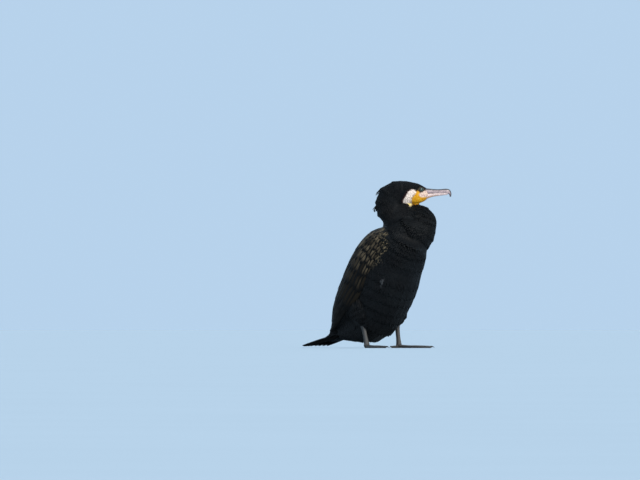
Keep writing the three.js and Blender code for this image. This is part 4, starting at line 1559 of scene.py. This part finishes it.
@dataclass
class Bill:
    """Both halves of the bill, with the hook, side grooves, closed nostrils and bare base."""

    rows: int = 110
    around: int = 56

    def upper_relief(self, share: Array, angle: Array) -> Array:
        """Gives the groove along each side, the nostril slit, the hook's plate and the lip."""
        side = np.minimum(np.abs(angle - 0.42), np.abs(angle - (math.pi - 0.42)))
        groove = -0.28 * np.exp(-((side / 0.11) ** 2)) * smooth_step(0.1, 0.2, share)
        groove = groove * smooth_step(0.8, 0.66, share)
        slit = -0.8 * np.exp(-((side / 0.07) ** 2)) * np.exp(-(((share - 0.27) / 0.03) ** 2))
        nail = 0.25 * smooth_step(0.66, 0.72, share) * (np.sin(angle) > -0.3)
        plates = 0.06 * np.sin(share * 46.0 + 2.0 * np.cos(angle))
        low = np.minimum(np.abs(angle - (math.tau - 0.8)), np.abs(angle - (math.pi + 0.8)))
        lip = 1.0 * np.exp(-((low / 0.4) ** 2)) * smooth_step(0.82, 0.7, share)
        return groove + slit + nail + plates + lip

    def lower_relief(self, share: Array, angle: Array) -> Array:
        """Gives the lower half's shallow side groove and its lip."""
        side = np.minimum(np.abs(angle - (math.tau - 0.5)), np.abs(angle - (math.pi + 0.5)))
        high = np.minimum(np.abs(angle - 0.8), np.abs(angle - (math.pi - 0.8)))
        lip = 0.9 * np.exp(-((high / 0.4) ** 2)) * smooth_step(0.96, 0.85, share)
        groove = 0.25 * np.exp(-((side / 0.16) ** 2)) * smooth_step(0.1, 0.25, share)
        return lip - groove * smooth_step(0.9, 0.6, share)

    def half(self, name: str, form: Form, relief: Relief, upper: bool) -> bpy.types.Object:
        """Makes one half with the masks that its finish reads.

        Args:
            name: The piece's name.
            form: Its form.
            relief: Its extra height by share and angle.
            upper: Whether it is the upper half.

        Returns:
            The piece.
        """
        shell = form.lofted(self.rows, self.around, relief)
        share = np.append(np.repeat(np.linspace(0, 1, self.rows), self.around), [0.0, 1.0])
        angle = np.append(np.tile(circle(self.around), self.rows), [0.0, 0.0])
        if upper:
            top = smooth_step(0.25, 0.62, np.sin(angle))
            tip = smooth_step(0.80, 0.93, share)
            edge = smooth_step(-0.45, -0.8, np.sin(angle)) * 0.3
            ridge = np.clip(top + tip * 0.7 + edge, 0, 1)
            warm = np.zeros(len(share))
        else:
            ridge = smooth_step(0.6, 0.9, np.sin(angle)) * 0.2
            forward = head_measure(shell.points)[:, 0]
            warm = smooth_step(0.2, -0.9, np.sin(angle)) * smooth_step(168.0, 118.0, forward)
        shell.values = {"ridge": ridge, "warm": warm}
        return shell.as_object(name)

    def build(self) -> None:
        """Makes both halves."""
        upper = HornFinish("upper_horn", rgb(0.50, 0.36, 0.35), rgb(0.27, 0.20, 0.205)).material()
        lower = HornFinish("lower_horn", rgb(0.72, 0.55, 0.51), rgb(0.50, 0.36, 0.33)).material()
        above = self.half("upper_bill", UPPER_BILL_FORM, self.upper_relief, True)
        below = self.half("lower_bill", LOWER_BILL_FORM, self.lower_relief, False)
        dress(above, upper, "horn", "bill_upper")
        dress(below, lower, "horn", "bill_lower")


@dataclass
class Eye:
    """One eye with its ring of bare skin."""

    side: Side
    ring: float = 4.9
    ring_thick: float = 1.25
    ring_out: float = 2.3
    ring_steps: int = 120
    ring_around: int = 12
    beads: int = 30

    def axes(self) -> tuple[Array, Array, Array, Array]:
        """Gives the eye's middle, the way it looks, and the directions across and up beside that."""
        way = unit(LEFTWARD * self.side.value * 0.97 + FORWARD * 0.22 + UP * 0.06)
        across = unit(np.cross(way, UP))
        middle = head_point(EYE_FORWARD, self.side.value * EYE_OUT, EYE_UP)
        return middle, way, across, np.cross(across, way)

    def ball(self) -> Shell:
        """Makes the eyeball with its distance from the axis at each point."""
        middle, way, across, up = self.axes()
        polar = np.linspace(0.02, math.pi - 0.02, 36)[:, None, None]
        angle = circle(48)[None, :, None]
        ball = way * np.cos(polar) + np.sin(polar) * (across * np.cos(angle) + up * np.sin(angle))
        shell = Shell.from_rings(middle + ball * EYE_RADIUS)
        facing = (shell.points - middle) / EYE_RADIUS @ way
        shell.values = {"off_axis": np.where(facing > 0, np.sqrt(np.clip(1 - facing**2, 0, 1)), 1.0)}
        return shell

    def lid(self) -> Shell:
        """Makes the beaded ring, thicker above."""
        middle, way, across, up = self.axes()
        turn = circle(self.ring_steps)
        points, faces = [], []
        for number, angle in enumerate(turn):
            out = across * math.cos(angle) * 1.06 + up * math.sin(angle) * 0.93
            bead = 1.0 + 0.10 * math.sin(angle * self.beads)
            thick = self.ring_thick * (1.0 + 0.25 * max(0.0, math.sin(angle))) * bead
            for small in circle(self.ring_around):
                lift = way * (self.ring_out + thick * math.sin(small))
                points.append(middle + lift + out * (self.ring + thick * math.cos(small)))
            here, after = number * self.ring_around, (number + 1) % len(turn) * self.ring_around
            for j in range(self.ring_around):
                k = (j + 1) % self.ring_around
                faces.append((here + j, here + k, after + k, after + j))
        return Shell(np.array(points), faces, values={"scute": np.zeros(len(points))})

    def build(self, wet: bpy.types.Material, skin: bpy.types.Material) -> None:
        """Makes the eyeball and its ring.

        Args:
            wet: The eyeball's finish.
            skin: The ring's finish.
        """
        word = self.side.word
        dress(self.ball().as_object(f"eyeball_{word}"), wet, "eye", f"eye_{word}")
        dress(self.lid().as_object(f"eye_ring_{word}"), skin, "eye")


@dataclass(frozen=True)
class Toe:
    """One toe: its length, the way it points from straight ahead, and its thickness at the root."""

    length: float
    turn: float
    thick: float


@dataclass
class Leg:
    """Tarsus, four toes joined by webs, and claws."""

    side: Side
    toes: tuple[Toe, ...] = (Toe(88, 34, 5), Toe(78, 10, 5), Toe(56, -16, 4.6), Toe(34, -88, 4.2))
    claw: float = 10.0
    scute: float = 3.1
    web_thick: float = 1.4
    web_gap: float = 0.05

    def hub(self) -> Array:
        """Gives the place at which the toes meet the shank."""
        return np.array([FOOT_FORWARD[self.side], self.side.value * FOOT_SPREAD, 9.0])

    def ground(self) -> Array:
        """Gives the place on the floor under the hub."""
        return self.hub() * FLAT

    def way(self, toe: Toe) -> Array:
        """Gives the direction of a toe."""
        angle = self.side.value * math.radians(toe.turn)
        return np.array([math.cos(angle), math.sin(angle), 0.0])

    def scutes(self, length: float) -> Relief:
        """Gives a relief of overlapping plates on top of a toe or the front of the tarsus."""

        def relief(share: Array, angle: Array) -> Array:
            """Rises along each plate and drops at its end."""
            saw = (share * length / self.scute) % 1.0
            return 0.32 * (saw - 0.5) * smooth_step(0.1, 0.6, np.sin(angle))

        return relief

    def toe_shell(self, toe: Toe) -> Shell:
        """Makes one toe with its plates and pads."""
        root, way = self.ground(), self.way(toe)

        def at(share: float, up: float, size: float) -> Station:
            """Gives a station along the toe."""
            return (*(root + way * toe.length * share + UP * up), size, size)

        form = Form([at(-0.04, 5, toe.thick), at(0.3, 3.6, toe.thick * 0.8), at(0.62, 3.4, toe.thick * 0.78),
                     at(0.94, 3.0, toe.thick * 0.62), at(1.0 + 3.0 / toe.length, 3.2, 1.6)],
                    np.cross(UP, way))
        shell = form.lofted(int(toe.length * 1.3), 20, self.scutes(toe.length))
        shell.points[:, 2] = np.maximum(shell.points[:, 2], 0.0)
        shell.values = {"scute": smooth_step(3.0, 6.0, shell.points[:, 2])}
        return shell

    def web_shell(self, first: Toe, second: Toe) -> Shell:
        """Makes the web between two toes, hollowed at its free edge."""
        rows, cols = 18, 11
        root = self.ground()
        along = np.linspace(0.02, 1.0, rows)
        top = np.zeros((rows, cols, 3))
        for j, share in enumerate(np.linspace(0.0, 1.0, cols)):
            way = self.way(first) * first.length * (1 - share) + self.way(second) * second.length * share
            hollow = 1.0 - 0.30 * (1.0 - (2 * share - 1) ** 2)
            top[:, j] = root + np.outer(along, way) * hollow
            fold = 0.35 * math.cos(share * math.pi * 6)
            top[:, j, 2] = self.web_thick + 0.9 * (2 * share - 1) ** 2 + fold * along
        bottom = top.copy()
        bottom[..., 2] = self.web_gap
        index = np.arange(rows * cols).reshape(rows, cols)
        under = index + rows * cols
        faces = []
        for i in range(rows - 1):
            for j in range(cols - 1):
                faces.append((index[i, j], index[i + 1, j], index[i + 1, j + 1], index[i, j + 1]))
                faces.append((under[i, j], under[i, j + 1], under[i + 1, j + 1], under[i + 1, j]))
        rim = [*index[0, :], *index[1:, -1], *index[-1, -2::-1], *index[-2:0:-1, 0]]
        faces += [(a, b, b + rows * cols, a + rows * cols) for a, b in zip(rim, rim[1:] + rim[:1])]
        faces = [tuple(int(v) for v in face) for face in faces]
        points = np.vstack([top.reshape(-1, 3), bottom.reshape(-1, 3)])
        return Shell(points, faces, values={"scute": np.zeros(len(points))})

    def knuckle(self) -> Shell:
        """Makes the joint over the toes."""
        middle = self.ground() + UP * 6.0
        form = Form([(*(middle + [-8.5, 0, 0]), 2.4, 2.4), (*(middle + [-5, 0, 0.5]), 6.4, 6.4),
                     (*(middle + [0, 0, 1]), 7.6, 7.4), (*(middle + [5, 0, -0.5]), 6.0, 6.2),
                     (*(middle + [9, 0, -1.5]), 2.8, 3.2)])
        shell = form.lofted(24, 24, self.scutes(17.0))
        shell.points[:, 2] = np.maximum(shell.points[:, 2], 0.0)
        shell.values = {"scute": smooth_step(6.0, 11.0, shell.points[:, 2]) * 0.6}
        return shell

    def claw_shell(self, toe: Toe) -> Shell:
        """Makes one curved claw."""
        way = self.way(toe)
        tip = self.ground() + way * toe.length
        stations = [(*(tip + way * forward + UP * rise), tall, wide) for forward, rise, tall, wide in
                    ((-2.5, 3.2, 1.9, 1.8), (1.5, 4.2, 1.9, 1.5), (5.0, 4.0, 1.4, 1.0), (8.0, 2.7, 0.9, 0.6),
                     (self.claw, 1.0, 0.35, 0.3))]
        shell = Form(stations, np.cross(UP, way)).lofted(26, 14)
        shell.points[:, 2] = np.maximum(shell.points[:, 2], 0.0)
        shell.values = {"ridge": np.ones(len(shell.points)) * 0.8, "warm": np.zeros(len(shell.points))}
        return shell

    def tarsus(self) -> Shell:
        """Makes the bare shank with plates down its front."""
        top, foot = ankle(self.side), self.hub()

        def at(share: float, tall: float, wide: float) -> Station:
            """Gives a station down the shank."""
            return (*(top + (foot - top) * share), tall, wide)

        form = Form([at(-0.08, 7, 6), at(0.06, 8.4, 6.8), at(0.3, 6.9, 5), at(0.7, 6.7, 4.8),
                     at(1, 8.4, 6.6)])
        shell = form.lofted(90, 28, self.scutes(60.0))
        front = (shell.points - (top + foot) / 2) @ np.array([1.0, 0.0, 0.15])
        shell.values = {"scute": smooth_step(-1.0, 5.0, front)}
        return shell

    def build(self, leather: bpy.types.Material, claw: bpy.types.Material) -> None:
        """Makes the leg's pieces.

        Args:
            leather: Scaly skin.
            claw: Dark horn.
        """
        word = self.side.word
        dress(self.tarsus().as_object(f"shank_{word}"), leather, "leg_skin", f"tarsus_{word}")
        webs = [self.web_shell(a, b) for a, b in zip(self.toes, self.toes[1:])]
        foot = Shell.joined([self.knuckle(), *(self.toe_shell(toe) for toe in self.toes), *webs])
        dress(foot.as_object(f"webbed_foot_{word}"), leather, "leg_skin", f"foot_{word}")
        claws = Shell.joined([self.claw_shell(toe) for toe in self.toes])
        dress(claws.as_object(f"claws_{word}"), claw, "leg_skin")


@dataclass
class NapeWisps:
    """Fine loose locks at the nape, in two bunches."""

    bunches: tuple[tuple[float, float, float], ...] = ((-7.0, 430.0, 0.95), (-17.5, 388.0, 1.5))
    locks: int = 4
    spikes: int = 4
    apart: float = 5.0
    length: float = 15.0
    radius: float = 1.0
    values: tuple[str, ...] = ("tone", "cheek", "cheek_rim", "throat", "lore", "low_cheek", "gape",
                               "fleck", "bronze")

    def build(self, material: bpy.types.Material) -> None:
        """Makes the wisps as thin tapered spikes."""
        random = np.random.default_rng(5)
        spikes = []
        for forward, up, drop in self.bunches:
            back = (-FORWARD - UP * drop) / math.hypot(1.0, drop)
            for number in range(self.locks * self.spikes):
                lock = number // self.spikes
                off = (lock - 0.5 * (self.locks - 1)) * self.apart
                root = head_point(forward + 1.5 + 0.05 * off * off, off, up + 2.0 * lock)
                root = root + random.uniform(-1.6, 1.6, 3)
                end = head_point(forward, off, up + 2.0 * lock) + back * self.length
                way = end + random.uniform(-0.3, 0.3, 3) - root
                long = np.linalg.norm(way) * random.uniform(0.8, 1.05)
                way = unit(way)
                stations = []
                for share, thick in ((-0.4, 1.0), (0.2, 1.0), (0.6, 0.5), (1.0, 0.08)):
                    at = root + way * share * long - UP * (0.08 * share * abs(share) * long)
                    stations.append((*at, self.radius * thick, self.radius * thick))
                spike = Form(stations, LEFTWARD).lofted(9, 5)
                spike.values = {name: np.zeros(len(spike.points)) for name in self.values}
                spikes.append(spike)
        piece = Shell.joined(spikes).as_object("nape_wisps")
        dress(piece, material, "plumage", "neck_upper")


@dataclass
class Studio:
    """Floor, lights and camera at the photograph's angle."""

    azimuth: float = 38.0
    lens: float = 600.0
    scale: float = 2.75
    foot_pixel: tuple[float, float] = (382.0, 348.0)
    camera_height: float = 0.06
    frame_size: tuple[int, int] = (640, 480)
    sensor: float = 36.0
    floor_radius: float = 150.0
    sky: Colour = rgb(0.50, 0.68, 0.88)
    sky_strength: float = 0.95

    def camera(self) -> None:
        """Places the camera so that the spot between the feet falls on its pixel."""
        turn = math.radians(self.azimuth)
        back = Vector((math.sin(turn), -math.cos(turn), 0.0))
        right = Vector((math.cos(turn), math.sin(turn), 0.0))
        pixel = self.scale * MM
        feet = Vector(Place.metres(np.zeros(3)).tolist())
        eye = feet + back * (self.frame_size[0] * pixel * self.lens / self.sensor)
        eye.z = self.camera_height
        off_x, off_y = (at - size / 2 for at, size in zip(self.foot_pixel, self.frame_size))
        target = feet - right * off_x * pixel + Vector((0, 0, off_y * pixel))
        data = bpy.data.cameras.new("camera")
        data.lens, data.sensor_width, data.clip_end = self.lens, self.sensor, 400.0
        camera = linked("camera", data)
        camera.location = eye
        camera.rotation_euler = (target - eye).to_track_quat("-Z", "Y").to_euler()
        bpy.context.scene.camera = camera

    def lamp(self, name: str, azimuth: float, height: float, softness: float, power: float,
             colour: tuple[float, float, float]) -> None:
        """Adds a broad far lamp that lights bird and floor evenly.

        Args:
            name: The lamp's name.
            azimuth: Where it stands, in the camera's sense of degrees.
            height: Its height in degrees above the floor.
            softness: Its breadth in degrees.
            power: Its strength.
            colour: Its colour.
        """
        data = bpy.data.lights.new(name, "SUN")
        data.angle, data.energy, data.color = math.radians(softness), power, colour
        lamp = linked(name, data)
        turn, rise = math.radians(azimuth), math.radians(height)
        flat = math.cos(rise)
        place = Vector((math.sin(turn) * flat, -math.cos(turn) * flat, math.sin(rise))) * 4.0
        lamp.location = place
        lamp.rotation_euler = (-place).to_track_quat("-Z", "Y").to_euler()

    def build(self) -> None:
        """Makes the floor, world, lamps and camera."""
        self.camera()
        mesh = bpy.data.meshes.new("floor")
        work = bmesh.new()
        bmesh.ops.create_circle(work, cap_ends=True, segments=96, radius=self.floor_radius)
        work.to_mesh(mesh)
        work.free()
        floor = linked("floor", mesh)
        floor.data.materials.append(FloorFinish().material())
        world = bpy.data.worlds.new("studio")
        world.use_nodes = True
        sky = world.node_tree.nodes["Background"]
        sky.inputs[0].default_value, sky.inputs[1].default_value = self.sky, self.sky_strength
        bpy.context.scene.world = world
        bpy.context.scene.view_settings.view_transform = "Standard"
        self.lamp("key", 70.0, 36.0, 18.0, 2.7, (1.0, 0.96, 0.88))
        self.lamp("fill", 30.0, 5.0, 40.0, 0.9, (1.0, 0.97, 0.93))
        self.lamp("rim", 235.0, 50.0, 30.0, 0.2, (1.0, 1.0, 1.0))


def main() -> None:
    """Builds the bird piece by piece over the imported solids."""
    logging.basicConfig(level=logging.INFO, format="%(message)s")
    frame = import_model()
    Place.settle()
    Studio().build()
    skin = BodySkin(frame["nodes"]).build()
    plumage = PlumageFinish("coat").material()
    bare = PlumageFinish("skin", barbed=False).material()
    small = Feather(0.60, 0.06, 0.025)
    broad = Feather(0.56, 0.06, 0.03)
    coats = (Coat("coat_face", 0.0, 5.3, 1.3, small, 5.0, 3, 1.1),
             Coat("coat_neck", 5.3, 10.6, 2.42, small, 4.0, 4, 1.15),
             Coat("coat_breast", 10.6, 14.2, 3.5, broad, 3.6, 6, 1.2),
             Coat("coat_body", 14.2, 99.0, 3.7, broad, 3.6, 5, 1.2))
    for coat in coats:
        dress(coat.build(skin, plumage), plumage, "plumage")
    dress(skin, bare, "plumage", "torso", "neck_lower", "head", "gular_pouch", "thigh_left", "thigh_right")
    NapeWisps().build(bare)
    flight = VaneFinish("flight", rgb(0.0120, 0.0105, 0.0090), rgb(0.0028, 0.0028, 0.0028), 0.35).material()
    covert = VaneFinish("covert", rgb(0.105, 0.080, 0.050), rgb(0.0026, 0.0027, 0.0028), 0.58).material()
    scapular = VaneFinish("scapular", rgb(0.095, 0.074, 0.048), rgb(0.0026, 0.0027, 0.0028), 0.55).material()
    for side in Side:
        FoldedWing(side).build(flight, covert, scapular)
    Mantle().build(scapular)
    tail = VaneFinish("tail", rgb(0.0050, 0.0047, 0.0045), rgb(0.0026, 0.0026, 0.0026), 0.16, 80.0, 0.55)
    TailFan().build(tail.material())
    Bill().build()
    wet = EyeFinish().material()
    ring = LeatherFinish("eye_skin", rgb(0.020, 0.020, 0.014), rgb(0.10, 0.088, 0.045), 1600.0,
                         0.0002).material()
    leather = LeatherFinish("leg_skin").material()
    claw = HornFinish("claw_horn", rgb(0.05, 0.045, 0.04), rgb(0.03, 0.028, 0.026),
                      rgb(0.012, 0.011, 0.011)).material()
    for side in Side:
        Eye(side).build(wet, ring)
        Leg(side).build(leather, claw)


if __name__ == "__main__":
    main()
